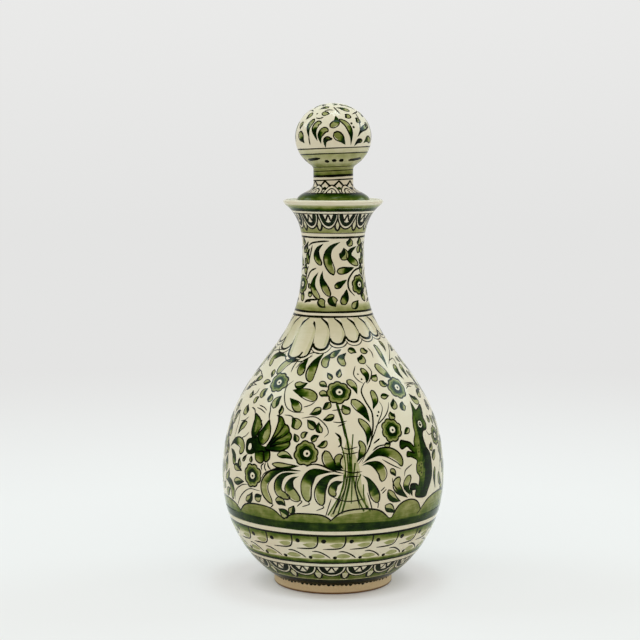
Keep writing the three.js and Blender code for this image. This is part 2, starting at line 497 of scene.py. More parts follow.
    def rosette(self, x, y, radius):
        """A round flower: scalloped petals, a dark ring and a white eye with a dot."""
        turn = np.linspace(0, 2 * math.pi, 6 * PETALS + 1)
        lobes = np.sqrt(np.abs(np.sin(0.5 * PETALS * turn + self.hand.uniform(0, 3))))
        a, b = self.hand.uniform(0, 2 * math.pi, 2)
        rim = radius * (0.8 + 0.2 * lobes) * (1 + 0.04 * np.sin(turn + a) + 0.04 * np.sin(3 * turn + b))
        self.wipe(ring(x, y, rim, len(turn)))
        self.lay(ring(x, y, 0.95 * rim, len(turn)), "green", PETAL_WASH)
        self.lay(ring(x, y, 0.75 * rim, len(turn)), "green", PETAL_WASH + 1.2)
        half_as_many = turn[::2]
        dark_ring = 0.58 * radius * (1 + 0.06 * np.sin(5 * half_as_many))
        self.lay(ring(x, y, dark_ring, len(half_as_many)), "green", DARK)
        self.wipe(ring(x + 0.03 * radius, y, 0.28 * radius, 12))
        self.dot(x + 0.05 * radius, y - 0.02 * radius, 0.11 * radius)
        self.trace(ring(x, y, rim, len(turn)), PLAIN_LINE, (0.8, 0.8))

    def band(self, low, high, pigment, amount, wave=0.25, tilt=0.0):
        """A stripe right round the piece, lined by hand on the wheel."""
        half = self.turned.half
        x = np.linspace(-half, half, self.turned.columns + 1)
        turn = x / self.turned.widest
        edges = []
        for height in (low, high):
            a, b, c = self.hand.uniform(0, 2 * math.pi, 3)
            ripple = 0.5 * np.sin(2 * turn + a) + 0.3 * np.sin(5 * turn + b) + 0.2 * np.sin(11 * turn + c)
            edges.append(np.c_[x, height + tilt * np.sin(turn) + wave * ripple])
        self.marks.append((closed(*edges), pigment, amount))

    def fade(self, *steps, wave=0.25, tilt=0.0):
        """A green stripe right round the piece that fades between heights, each given with its amount."""
        self.band(steps[0][0], steps[-1][0], "green", list(steps), wave, tilt)

    def rule(self, rise, width=BOLD_LINE, tilt=0.0):
        """A dark line right round the piece."""
        half = 0.5 * width * self.turned.units(rise)
        self.band(rise - half, rise + half, "black", INK, wave=0.25 * half, tilt=tilt)

    def triangles(self):
        """Cuts the sheet into triangles along every mark's edge. Returns points, and triples of them."""
        turned = self.turned
        columns = turned.columns
        rows = math.ceil((turned.high - turned.low) / (2 * turned.half / columns))
        x = np.linspace(-turned.half, turned.half, columns + 1)
        y = np.linspace(turned.low, turned.high, rows + 1)
        grid = np.stack(np.meshgrid(x, y), -1).reshape(-1, 2)
        number = np.arange(len(grid)).reshape(rows + 1, columns + 1)
        frame_edges = []
        for border in (number[0], number[-1], number[:, 0], number[:, -1]):
            frame_edges.append(np.c_[border[:-1], border[1:]])
        points, edges, count = [grid], frame_edges, len(grid)
        for outline, *_ in self.marks:
            order = count + np.arange(len(outline))
            points.append(outline)
            edges.append(np.c_[order, np.roll(order, -1)])
            count += len(outline)
        places = [Vector(p) for p in np.vstack(points).tolist()]
        cut = delaunay_2d_cdt(places, np.vstack(edges).tolist(), [], 0, self.SAME_PLACE, False)
        flat = np.array([tuple(p) for p in cut[0]])
        triples = np.array(cut[2])
        across, up = flat[triples].mean(1).T
        kept = (np.abs(across) < turned.half) & (up > turned.low) & (up < turned.high)
        return flat, triples[kept]

    def painted(self, corners):
        """How much of each pigment lies at the corners of each triangle."""
        middle = corners.mean(1)
        order = middle[:, 0].argsort()
        ordered = middle[order, 0]
        paint = {pigment: np.zeros(corners.shape[:2]) for pigment in ("green", "black", "clay")}
        for outline, pigment, amount in self.marks:
            low, high = outline.min(0), outline.max(0)
            near = order[np.searchsorted(ordered, low[0]):np.searchsorted(ordered, high[0])]
            near = near[(middle[near, 1] > low[1]) & (middle[near, 1] < high[1])]
            inside = near[encloses(outline, middle[near])]
            value = amount
            if isinstance(amount, list):
                heights, amounts = zip(*amount)
                value = np.interp(corners[inside, :, 1], heights, amounts)
            elif isinstance(amount, np.ndarray):
                gaps = np.linalg.norm(corners[inside][:, :, None] - outline, axis=-1)
                value = amount[gaps.argmin(-1)]
            paint[pigment][inside] = value
        return paint


# Painting the carafe, from the foot to the lip. Heights are on its flat sheet.

# Top of the bare clay, in millimetres above the table
CLAY_HEIGHT = 5.9
# The dark stripe over the foot, and the row of dabs along its edge
STRIPE_LOW, STRIPE_HIGH = -87.8, -73.2
DAB_ROW = -87.4
# The line that the lower swags hang from
SWAG_LINE = -54
# The two lines that bound the comma band
COMMA_LOW, COMMA_HIGH = -49.6, -26.4
# Where the hills' ends meet, and how far down the hills reach under the dark earth
HILL_FOOT, HILL_BASE = -16.6, -18
# Where the zero height of the garden over the hills lies
GARDEN_RISE = -0.8
# Where the petals of the collar hang from
COLLAR_TOP = 158


def paint_foot(sheet):
    """Bare clay ring, a dark stripe above it and a row of dabs along the stripe's lower edge."""
    turned = sheet.turned
    sheet.band(turned.low, turned.rise_at(CLAY_HEIGHT), "clay", 1, wave=0.0)
    sheet.band(STRIPE_LOW, STRIPE_HIGH, "green", DARK, wave=0.3)
    sheet.band(STRIPE_LOW, STRIPE_HIGH, "black", 0.25, wave=0.3)
    dabs = 84
    half_width = 2.4
    pitch = 2 * turned.half / dabs
    turn = np.linspace(0, 2 * math.pi, 9)
    for i in range(dabs):
        across, reach = sheet.hand.uniform((-0.6, 1.2), (0.6, 3.0))
        dab = np.c_[i * pitch + across + half_width * np.cos(turn), DAB_ROW + reach * np.sin(turn)]
        sheet.lay(dab, "clay", 0)
        sheet.lay(dab, "green", DARK)
        sheet.lay(dab, "black", 0.3)


def paint_scallops(sheet, count, offset, top, width, depth, drop):
    """Dark swags that hang from a line, each with a thread inside and a fine line round it.

    Between each two hangs a loop, lower by the drop. Bare numbers are shares of a swag's width and depth.
    """
    pitch = 2 * sheet.turned.half / count
    half_turn = np.linspace(math.pi, 2 * math.pi, 13)
    hanging = np.c_[np.cos(half_turn), np.sin(half_turn)]
    for i in range(count):
        between = (offset + (i + 0.5) * pitch, top - 0.72 * depth)
        loop = between + hanging * (0.18 * width, 0.28 * depth + drop)
        sheet.lay(loop, "green", 0.25)
        sheet.trace(loop, BOLD_LINE, (0.8, 0.8))
    for i in range(count):
        root = np.array((offset + i * pitch + sheet.hand.uniform(-0.03, 0.03) * width, top))
        around = root + hanging * (0.585 * width, 1.2 * depth)
        sheet.wipe(around)
        sheet.trace(around, PLAIN_LINE, (0.8, 0.8))
        swag = root + hanging * (0.5 * width, depth)
        sheet.lay(swag, "green", DARK)
        sheet.lay(swag, "black", 0.15)
        sheet.wipe(root + hanging * (0.34 * width, 0.66 * depth))
        thread = np.array([(-0.34, 0), (-0.18, -0.52), (0, -0.06), (0.17, -0.54), (0.34, 0)])
        sheet.line(*(root + thread * (width, depth)), width=1.15, ends=(0.8, 0.8))


def paint_comma_band(sheet):
    """Hooks hanging from a line, arcs and dots beneath them, between two green washes."""
    sheet.fade((-32, 0.15), (-30.8, 0.9), (-29.6, 1.8), (COMMA_HIGH, 3), wave=0.8)
    sheet.fade((COMMA_LOW, 4), (-47.6, 3), (-46.2, 1.6), (-45, 0.3), wave=0.8)
    sheet.rule(COMMA_HIGH)
    sheet.rule(COMMA_LOW)
    hooks = 24
    pitch = 2 * sheet.turned.half / hooks
    for i in range(hooks):
        sheet.stand(8.4 + i * pitch + sheet.hand.uniform(-0.8, 0.8), rise=-1.8)
        for pool in (
            ((-10, -31.6), (-6, -30.2), (-1.4, -30.4), (-2.4, -32.8), (-6.4, -33.6)),
            ((-6.6, -41.6), (-2.8, -39), (2, -39.4), (4.2, -41.8), (-1, -43)),
        ):
            sheet.lay(patch(*pool), "green", 0.9)
        hook = ((0.2, -24.8), (0.2, -29.2), (-1.2, -32.8), (-4.8, -34.4), (-14.4, -34.9))
        sheet.line(*hook, width=1.0, ends=(0.9, 0.4))
        sheet.dot(4.0, -28.8, 1.6)
        sheet.line(
            (-4, -37), (-1.2, -36.8), (2, -37.9), (5.7, -40.4), (8, -42.8), width=1.0, ends=(0.5, 0.5),
        )
        sheet.dot(11.2, -42.4, 1.5)
    sheet.stand(0)


def paint_hill(sheet, left, right, peak):
    """A round hill, greener towards its foot, under a line."""
    middle = 0.5 * (left + right)
    shoulder = 0.7 * peak - 4.4
    top = bend([
        (left, HILL_FOOT), (0.6 * left + 0.4 * middle, shoulder), (middle, peak),
        (0.6 * right + 0.4 * middle, shoulder), (right, HILL_FOOT),
    ])
    outline = np.vstack([top, (right, HILL_BASE), (left, HILL_BASE)])
    sheet.wipe(outline)
    sheet.lay(outline, "green", [(HILL_BASE, 2.3), (-15, 1.7), (-8, 1.3)])
    sheet.trace(top, PLAIN_LINE, (0.6, 0.6))


def paint_ground(sheet):
    """Dark earth under a row of round hills, all the way round."""
    sheet.band(-18.4, -15.8, "green", 2.2, wave=0.3)
    for place, mirrored in ((0, False), (sheet.turned.half, True)):
        sheet.stand(place, mirrored)
        for left, right, peak in (
            (-104, -64, -11), (-66, -30, -9.6), (-30, 0, -12.2), (-2, 35, -9.2), (36, 61, -6.6),
            (57, 104, -6.4),
        ):
            paint_hill(sheet, left, right, peak)
    sheet.stand(0)
    sheet.fade((-23, 4.2), (-18.8, 4.2), (-17.6, 3), wave=0.6)
    sheet.band(-23, -18.2, "black", 0.12, wave=0.6)


def paint_bouquet(sheet):
    """A sheaf of stems, tied in several places, with leaves arching out on both sides."""
    shadow = patch((9, 34), (5, 20), (6, 6), (-2, -12), (10, -11), (21, -9), (17, 4), (15, 18))
    sheet.lay(shadow, "green", 0.5)
    sheet.stem((2.5, 58), (6, 45.3), (8, 35.9), (9.8, 22.9), (9.8, 10.5), (8, 0.7), (5, -11), width=1.2)
    for stem in (
        ((12.5, 35.8), (11, 22.9), (11, 8.8), (10.5, -5)),
        ((3.5, 33.4), (6.2, 24.6), (7.2, 14.7), (4.8, 2.4), (0, -11.2)),
        ((13, 18.6), (12, 8.8), (14.8, -2.9), (18.2, -10)),
        ((16.2, 11.9), (14, 5.4), (17.2, -3), (22.2, -10.2)),
        ((8.4, 24), (8.8, 13), (6.4, 1), (2.6, -12)),
        ((6.5, 12), (5.6, 4), (1.6, -4), (-3, -12)),
        ((17.6, 6), (18, -2), (20, -9)),
    ):
        sheet.stem(*stem, width=0.9, amount=3.2)
    for tie in (
        ((5, 28), (9.2, 26.8), (15, 28)), ((5, 24.8), (10, 23.9), (15, 24.8)),
        ((5.4, 14.6), (10.8, 12.9), (17, 13.4)), ((6.6, 10.4), (15.4, 10.8)),
        ((-1, -0.6), (4.8, -3), (10.5, -3.6), (18, -2.6)), ((0, 44), (4.5, 43.6), (9, 44.6)),
        ((3, 41), (8, 43)), ((-0.5, 52), (8, 53)),
    ):
        sheet.line(*tie, width=FINE_LINE)
    for line in (
        ((2, 57), (5.4, 45), (7.4, 34)), ((7.3, 16), (7.2, 5), (3.6, -4), (-1, -12)),
        ((14.4, 14), (13, 4), (15.6, -8)), ((-1, -2), (-2.6, -7), (-4.4, -13)),
        ((20, 1), (21.6, -4), (23.4, -10)), ((4.6, 0), (2, -6), (0.4, -11)),
    ):
        sheet.line(*line, width=FINE_LINE)
    # Leaves to the left, the furthest first
    for spine, width, dark, tail in (
        (((-19, 13.4), (-32.5, 13.1), (-41.2, 6.6), (-42.2, -0.1), (-37.2, -7.2)), 5.2, 0.55, (-38.5, -9.6)),
        (((-19.5, 12.5), (-28.8, 10.7), (-32.8, 5.9), (-32.2, 0.1), (-25, -2.8)), 4.6, 0.58, None),
        (((-19.8, 10.5), (-24.2, 8.2), (-25.8, 3), (-23.2, -0.9), (-19.2, -3.6)), 6, 0.5, (-21.2, -7.3)),
        (((1, 13.6), (-10.5, 13), (-14.8, 7.8), (-15.5, 2), (-14.2, -4.2)), 6.6, 0.62, (-18, -7.2)),
        (((6, 11.6), (-0.5, 11), (-4.8, 8.1), (-7.2, 3.1), (-7.5, -1.4), (-6, -6)), 6, 0.66, (-9.6, -9.2)),
    ):
        sheet.leaf(*spine, width=width, dark=dark, fullness=SICKLE, tail=tail)
    sheet.leaf((6, 8), (1.5, 6.5), (-0.5, 2.4), (1.5, -0.4), width=4.4, dark=0.6)
    sheet.line((-45, 6.9), (-42.5, 10.3), (-35.5, 13.1), (-28, 14.1), (-19, 13.6))
    sheet.line((-15.8, 16.1), (-11.5, 17.8), (-6.5, 17.1), (-0.5, 14.4), (6, 12.6))
    sheet.leaf((6, 14), (-2, 18.5), (-4.6, 26), width=6.2, dark=0.5)
    sheet.leaf((6.2, 15.1), (3.2, 18), (2.8, 21.4), (5.5, 23.4), width=3.6, dark=0.4)
    sheet.line((1.2, 37), (4.2, 34.2), (4.8, 29.8), (3, 28.1), width=BOLD_LINE, ends=(0.3, 0.3))
    # Leaves to the right
    sheet.leaf(
        (16.8, 17.6), (23.2, 21.9), (28.8, 24.1), (35.5, 23.1), (41.2, 19.2), (43.5, 14.4), width=5.8,
        dark=0.55, light=1.4, fullness=SICKLE,
    )
    sheet.line((30, 19.6), (36, 16), (42.6, 12.8), width=FINE_LINE)
    sheet.leaf(
        (16.8, 16.7), (21, 17.9), (26.5, 16.3), (29.8, 11.9), (29.2, 6.8), width=5.4, dark=0.58,
        fullness=SICKLE,
    )
    sheet.leaf(
        (17, 11.4), (20.8, 8.3), (23.2, 3.2), (25.2, -1.9), (26.5, -5.3), width=5.6, dark=0.66,
        fullness=SICKLE, tail=(26.6, -8.6),
    )
    sheet.leaf((13.8, 18.6), (16.5, 22.7), (18.2, 27.3), (16.2, 31.7), width=3.8, dark=0.42)
    # Stems and leaves above on the right
    sheet.line(
        (15, 18), (22, 27), (25.4, 37), (26.8, 43.6), (27, 50.5), (24, 58.1), (22.2, 66.4), (25.5, 72.6),
        (28, 75),
    )
    sheet.line((17, 18.6), (25, 33), (30.8, 43.3), (34, 48), (36, 53), (34.8, 57.5), width=FINE_LINE)
    sheet.line((28, 40), (35.8, 45.8), (40, 50.6), (42.5, 56.2), width=FINE_LINE)
    sheet.line((25.2, 29.5), (29.8, 32.3))
    sheet.line((24.2, 25.3), (28.2, 27.6), (33.8, 28.3))
    sheet.leaf((20.8, 28), (22.4, 38), (17, 46), width=4.4, dark=0.5, light=0.9)
    sheet.leaf((24.6, 43), (20.4, 51.9), (13.5, 60), width=6.6, dark=0.55, light=0.9)
    sheet.leaf((28.2, 51.5), (31.8, 58.9), (31, 67.1), width=4.8, dark=0.45)
    sheet.leaf((18.6, 64), (16.6, 72), (11.8, 77), width=5.4, dark=0.4, light=0.8)
    sheet.line((12, 71), (13.4, 66), (12, 61.5))
    for x, y, radius in (
        (32.2, 49.7, 0.8), (30.8, 47.2, 0.8), (24.4, 36, 1.0), (22.5, 82.4, 0.9), (24.8, 77.4, 0.9),
    ):
        sheet.dot(x, y, radius)


def paint_flowers(sheet):
    """Round flowers between the leaves."""
    for x, y, radius in (
        (4.5, 66.5, 9.4), (-16, 24, 7.4), (39.6, 37, 7.6), (-52.4, 7.6, 7), (-48.6, 72.5, 9),
        (56.8, 67, 9.2), (83, 27.6, 6),
    ):
        sheet.rosette(x, y, radius)


def paint_buds(sheet):
    """Small buds that fill the gaps, each from its pointed root to its round tip, with its width."""
    for root, tip, width in (
        # Left of the sheaf, from the top down
        ((-59.8, 75.6), (-62, 83.6), 4.6), ((-57.6, 71.7), (-67, 70.2), 4.4),
        ((-57.4, 66), (-60.6, 57.4), 6.2), ((-51.2, 62.4), (-51, 55.4), 5.2),
        ((-63, 58), (-66.2, 52.4), 4.2), ((-40.8, 61.4), (-44.6, 51.2), 6.2),
        ((-38.2, 54.5), (-37.8, 47.2), 3.4), ((-72.6, 51), (-71, 43), 6.6),
        ((-73.2, 29.7), (-65.5, 38.8), 5), ((-65.4, 16.6), (-64, 11), 3.4),
        ((-62, 9), (-71.6, 10.2), 4.2), ((-76, 61.6), (-75.6, 55.6), 4.6), ((-59.5, 3), (-71, 1.6), 4.2),
        ((-52, -2), (-58.4, -8), 4.4), ((-44.6, -3), (-49.8, -6.4), 4.8),
        ((-28.2, -7.6), (-34.8, -4.4), 4.8), ((-23, -6.8), (-26.2, -11.6), 4.2),
        ((-33, -9.6), (-27.6, -15), 5.4), ((-21, 74), (-32.4, 72.6), 6.4),
        ((-4.6, 70.6), (-11, 75.2), 5), ((-3.6, 62.8), (-10.6, 65.8), 5), ((-16, 48.8), (-8.6, 54), 5),
        ((-7.4, 52.6), (-2, 58), 4.8), ((-6.8, 45.2), (0.6, 48.8), 4.2), ((-28, 46), (-22.8, 38.4), 7),
        ((-17.2, 45.2), (-12.4, 38.6), 5.2), ((-9.2, 43.8), (-7, 37), 4),
        ((-24.8, 35.6), (-22, 30.6), 3.6), ((-15.8, 37), (-19.4, 33), 3.2),
        ((-8.6, 35), (-12.8, 31), 3.6), ((-9.8, 28.4), (-3.8, 31.8), 3.6),
        ((-24, 20.2), (-34.8, 21.9), 4.2), ((-20, 16.4), (-37.8, 16.3), 3.6),
        ((-59, 19), (-62.4, 15), 2.2),
        # Right of the sheaf
        ((6.6, 88.6), (5, 79.6), 4.6), ((-5.2, 84.6), (-1.6, 77.6), 4.2), ((6.6, 56.4), (11.2, 49.6), 6),
        ((40.6, 81), (34.4, 75.6), 6), ((48.4, 70), (41, 74.2), 5.6), ((45, 61.2), (37.4, 60.6), 4.4),
        ((48, 58.6), (45.2, 50.4), 5.6), ((56, 55.4), (55, 48.6), 5.6), ((41.4, 49.4), (43.8, 44), 5.4),
        ((48.4, 33.2), (54, 36.4), 3.6), ((37, 29), (32.4, 27.4), 3.2), ((67.4, 60), (76.6, 52.2), 6),
        ((89, 61), (79.8, 55.8), 6), ((74.6, 25), (71, 20.6), 4.2), ((79, 19.6), (74, 13.6), 4.6),
        ((79, 42), (79.4, 36.6), 3.8), ((38.5, 9), (35, 13.4), 3.2), ((42, -6.1), (33.2, 1.6), 5),
        ((38.5, -12.6), (31.4, -7.4), 5), ((70, 104), (68.4, 119.6), 5), ((88.5, 51.6), (86.8, 45), 4.2),
        ((96, -8), (93, -1), 4.4), ((93, 4), (88, 12), 4.4),
        # Under the petal collar
        ((26.6, 106.6), (17, 110), 7.6), ((42, 108), (33, 111.4), 7.6), ((32, 104.4), (27, 94), 9),
        ((84, 103), (91.6, 112), 6), ((87.4, 89), (84.8, 96), 5),
        # Towards the sides
        ((-84, 70), (-90, 62), 5), ((-80, 45), (-86, 38), 5), ((-87, 26), (-82, 17), 5.4),
        ((-78, 8), (-84, 1), 4.6), ((-92, 52), (-90, 43), 4.4), ((-93, 12), (-90, 3), 4.6),
        ((-76, -4), (-82, -9), 4.4), ((-91, 80), (-95, 72), 5), ((91, 52), (88, 44), 4.6),
        ((94, 34), (90, 25), 4.6), ((88, 78), (92, 70), 5), ((96, 96), (92, 88), 5),
    ):
        dark, deep = sheet.hand.uniform((0.55, 4.6), (0.92, DARK))
        sheet.drop(root, tip, width, dark=dark, light=0.85, deep=deep)


def paint_upper_leaves(sheet):
    """Long leaves and tendrils between the rosettes and the collar, and out to the sides."""
    for spine, width, dark, light in (
        (((-26.2, 99), (-30.4, 90), (-30, 80.5)), 7.4, 0.55, 1.3),
        (((-9.8, 107), (-17, 96.5), (-20.5, 84), (-19.5, 74.9)), 8.4, 0.56, 1.3),
        (((-1, 108), (-8, 97), (-6.6, 89.6)), 7.4, 0.45, 0.8),
        (((15, 107.4), (8.2, 100), (11.2, 91.4)), 7, 0.5, 0.8),
        (((9.8, 112), (3, 107.2), (-3.4, 101.4)), 6, 0.6, 0.8),
        (((-37, 98.2), (-45.8, 95), (-52.4, 89), (-55.6, 80)), 8, 0.34, 0.8),
        (((-53, 99.2), (-65.5, 101), (-76, 95.7), (-72, 86)), 7, 0.6, 1.0),
        (((56.4, 74), (49.2, 83.3), (44, 92)), 8.4, 0.35, 0.8),
        (((28.2, 73.1), (30.4, 80.5), (27, 88.6)), 5.2, 0.66, 1.0),
        (((-33, 67), (-24.2, 65.4), (-17, 63), (-12.6, 59.4)), 8.8, 0.42, 1.4),
        (((-33.4, 60.4), (-27.8, 56), (-22.8, 50.4)), 6.2, 0.5, 1.0),
        (((57.2, 85.6), (58.2, 97), (57.2, 110), (54.6, 115)), 5.4, 0.45, 0.9),
        (((71.8, 72), (68.4, 81.3), (70.4, 88.6)), 5.8, 0.66, 1.0),
        (((81.4, 72), (80.6, 81), (83, 87.6)), 5.8, 0.6, 1.0),
        (((-81, 20.6), (-75, 25.4), (-67, 25.4), (-64.4, 22), (-66.6, 18.8)), 5.2, 0.5, 1.0),
        (((47.5, -4.8), (41.2, 0), (38.8, 4.4), (41.5, 8.2)), 4.8, 0.5, 1.0),
        (((49.2, -3.4), (46, 2.7), (49.4, 8.6)), 4.4, 0.5, 1.0),
        (((51, -4.4), (50, -0.5), (52.6, 2.6)), 3, 0.8, 1.0),
        (((-84, 90), (-92, 98), (-90, 108)), 6, 0.5, 0.9),
        (((-84, 66), (-79, 72), (-72.6, 74)), 4.6, 0.55, 1.0),
        (((-96, 34), (-90, 26), (-92, 18)), 5, 0.55, 1.0),
        (((-90.8, 37.8), (-88, 33), (-85, 26.6)), 6, 0.6, 1.0),
        (((-78.8, 20.2), (-73.4, 17), (-71.2, 11.2)), 4.6, 0.75, 1.0),
        (((-82.8, 16.6), (-83.6, 12), (-84.5, 5.4)), 5, 0.5, 1.0),
        (((-85.8, 1.4), (-76.5, 0.2), (-73, -4), (-73.8, -10)), 5, 0.6, 1.0),
        (((88.6, 40.6), (91, 37), (93, 33.6)), 4, 0.7, 1.0),
        (((95.5, 13.4), (92, 9), (88.5, 4)), 4.6, 0.6, 1.0),
        (((75.6, -4), (74, 3), (75.4, 9.6)), 2.8, 0.7, 1.0),
        (((88.5, -4.6), (83, 0), (80.8, 5.4)), 4, 0.6, 1.0),
        (((84, 10), (90, 16), (87, 24)), 5, 0.55, 1.0), (((97, 62), (92, 68), (96, 78)), 5.4, 0.5, 1.0),
    ):
        sheet.leaf(*spine, width=width, dark=dark, light=light)
    for line in (
        ((-34.5, 75.3), (-39.2, 69.1), (-38, 60.6), (-34, 53.2), (-27.8, 50), (-20.2, 49.9)),
        ((-21, 53.9), (-16, 55.8), (-12.8, 58.6)), ((-37.6, 96), (-39.8, 90), (-40.4, 83)),
        ((-34, 47.4), (-28.8, 47), (-24, 43.4)),
        ((-21, 46), (-12, 47.2), (-5, 42), (-3, 37), (-5.4, 34)),
        ((21.5, 91), (18.5, 82.6), (21.2, 76.7), (25.5, 73.2)),
        ((33, 92.6), (36.5, 84.4), (32.2, 76.1), (28.8, 73.1)), ((-68, 64.6), (-69.4, 60), (-76, 56)),
        ((-74.5, 38.3), (-69.2, 39.8), (-65.6, 42.6)), ((-67.6, 28.2), (-63.2, 30.2), (-60.6, 33)),
        ((-70, -10), (-69, -4), (-62, 0.6), (-56, 2)), ((-69, -14), (-63, -6), (-55, -0.6), (-46, -0.6)),
        ((-86, 47.4), (-77.6, 39.6), (-76.8, 27)), ((-60.4, 50), (-55.2, 49.2), (-50, 47)),
        ((-59, 52), (-53.2, 51), (-49.6, 49)), ((-82, 67), (-75, 66.4)),
        ((-84, 79), (-76, 76), (-73, 73)), ((67, 64), (72, 66), (77, 65)),
        ((68.8, 69.2), (80, 68), (90, 65.2), (98, 59)), ((70, 67), (77, 67.4), (85, 65.6)),
        ((44.8, 8.3), (46, 11.9), (51.5, 14.7)), ((36, 8.4), (36.8, 4.6), (40.2, 0)),
        ((28.2, 1.2), (31, 3.5)), ((29.2, -0.2), (32, 2.2)), ((62, 90), (74, 100), (92, 115)),
        ((66, 93.4), (75.5, 95), (74.8, 86.7)), ((-22, 103), (-31, 97), (-37, 88)),
        ((-14, 106), (-22, 107), (-29, 103.6)), ((43, 112), (46, 106), (45, 99)),
        ((-88, 84), (-92, 96), (-85, 112)), ((-81, 91.6), (-87, 102.5), (-64, 108)),
        ((-95, 52), (-93.6, 58.4), (-88, 63), (-76, 66.8)), ((-101, 80), (-82, 78.7), (-79.5, 74)),
        ((-89, 36), (-91.5, 44), (-92.5, 49)), ((-86, -6), (-84, 4), (-88, 14), (-85, 24)),
        ((71.2, 32.6), (74, 29.6), (79.2, 30)), ((84, -6), (82, 4), (86, 14), (83, 22)),
        ((98, 40), (93, 48), (94, 58)), ((-98, -4), (-95, 8), (-98, 20)), ((97, -4), (95, 10), (99, 22)),
    ):
        sheet.line(*line, width=FINE_LINE)


def paint_bird(sheet):
    """A flying bird with a pale eye, two raised wings, a fan of round feathers and two short ones below."""
    wing = sheet.shade(
        (-56.5, 30.2, 5.5), (-58.2, 33.6, 5.2), (-58.5, 38.3, 4.6), (-58.5, 42.1, 4.2),
        (-59.8, 45.6, 4.6), (-56.8, 44.8, 3.2), (-53.8, 43.2, 2.4), (-51.5, 40.5, 2.0),
        (-49.8, 37.9, 2.0), (-51.5, 34.9, 2.8), (-52.5, 32.4, 4.4), (-53.2, 30.5, 5.5),
    )
    pale_wing = patch((-56, 42), (-56, 37.6), (-55.4, 33.9), (-54.2, 34.6), (-53.8, 38), (-53.8, 41.4))
    sheet.lay(pale_wing, "green", 1.7)
    feather = sheet.shade(
        (-52, 32.5, 5), (-48.8, 36.6, 4.8), (-46.8, 40, 4.6), (-45, 42.6, 4.6), (-43.6, 40, 2.6),
        (-42.5, 38.1, 1.8), (-42, 35.4, 1.6), (-42, 32.6, 1.6), (-43.2, 29.5, 1.5), (-46.2, 27, 2.2),
        (-49.5, 28.3, 4.6),
    )
    pale_feather = patch((-46.6, 35), (-44.4, 36.8), (-43.4, 33.5), (-45, 30.2), (-47.2, 31.2))
    sheet.lay(pale_feather, "green", 1.1)
    fan = sheet.shade(
        (-43.8, 25, 5.5), (-40.2, 31.1, 5.2), (-38.2, 36.7, 4.6), (-37.5, 42.4, 4.2), (-38, 45.8, 4.4),
        (-35.8, 45.8, 2.8), (-34, 44.1, 2.4), (-32.2, 41.2, 3.2), (-30.4, 40.6, 2.4), (-28.8, 38.6, 2.2),
        (-28.2, 36.5, 3.2), (-26.7, 34.8, 2.4), (-26.4, 32.6, 2.4), (-27.2, 30.6, 3.4),
        (-26.9, 28.8, 2.6), (-28.4, 26.4, 3), (-33, 24.3, 4.4), (-38, 23.9, 5.2), (-43, 24.2, 5.5),
    )
    for root, middle, tip, width in (
        ((-39.4, 31.6), (-36.8, 37), (-35.4, 43.6), 3.0), ((-38, 31.4), (-33.8, 36), (-30.2, 39), 3.2),
        ((-37, 29.4), (-32, 32.2), (-28, 33.8), 3.0), ((-37, 26.8), (-32.4, 28.4), (-28.2, 28.6), 2.4),
    ):
        path = bend([root, middle, tip])
        along = shares(path)
        half = 0.5 * width * np.sin(math.pi * along ** 1.3).clip(0)
        sheet.lay(closed(*sides(path, half)), "green", 1.9)
    for separator in (
        ((-41.8, 27.4), (-38.2, 31.7), (-35, 36), (-32.5, 41.1)),
        ((-40.8, 27), (-36, 31), (-31.5, 33.5), (-28.2, 36.8)),
        ((-40.5, 26.2), (-35.5, 27.9), (-30, 29.7), (-26.8, 31)),
    ):
        sheet.line(*separator, width=1.1, ends=(0.9, 0.4), amount=0.8)
    sheet.wipe(
        patch((-40.4, 33), (-41.8, 29.6), (-44.5, 27.1), (-47.6, 26.4), (-44.6, 28.6), (-42.6, 31)),
    )
    body = patch(
        (-56.5, 30.2), (-52, 31.4), (-48, 27), (-44, 26), (-40.8, 26.4), (-39.2, 24.2), (-43.8, 22.4),
        (-51, 21.2), (-56, 20.4),
    )
    sheet.lay(body, "green", DARK)
    for lobe in (
        (
            (-51.8, 21.3, 4.8), (-50.5, 17.4, 1.9), (-46.8, 15.7, 1.6), (-44.2, 17.3, 2.6),
            (-44.8, 21, 4.4), (-45.5, 22.9, 5.2),
        ),
        (
            (-44.4, 22.6, 5), (-43.5, 17.8, 1.9), (-42, 17.1, 1.5), (-40, 19, 1.6),
            (-40, 22.4, 2.8), (-41.2, 23.8, 5),
        ),
    ):
        sheet.trace(sheet.shade(*lobe), PLAIN_LINE)
    for outline in (wing, feather, fan):
        sheet.trace(outline, PLAIN_LINE, (0.8, 0.8))
    for line in (
        ((-66.2, 49.4), (-62.2, 48.3), (-59.8, 45.6)),
        ((-48.2, 55), (-46.5, 49.1), (-46.2, 46), (-45, 42.6)), ((-38.4, 49), (-38, 45.8)),
        ((-40, 46.5), (-36.6, 46.2)), ((-51.6, 42.4), (-51, 38.4)),
        ((-58.2, 19.6), (-60.8, 16.9), (-60.8, 14.6)), ((-43.5, 16.1), (-45.5, 14.2), (-44.8, 11.6)),
        ((-42.5, 16.3), (-43, 13.7), (-41.5, 11.5)), ((-41, 16.8), (-40.2, 14.4), (-38.3, 12.8)),
    ):
        sheet.line(*line)
    head = patch(
        (-61.2, 24.2), (-61, 27.8), (-57.8, 29.8), (-54, 30), (-51, 27), (-51.8, 21.6), (-57.2, 19.6),
        (-60.2, 21.3),
    )
    sheet.lay(head, "green", DARK)
    sheet.lay(head, "black", 0.15)
    sheet.wipe(patch((-58.5, 24.2), (-57.6, 26.2), (-56, 26), (-55.4, 24), (-56.4, 22.4), (-58, 22.6)))
    sheet.drop((-54.4, 19.2), (-54.4, 15.2), 2.6, dark=0.9)


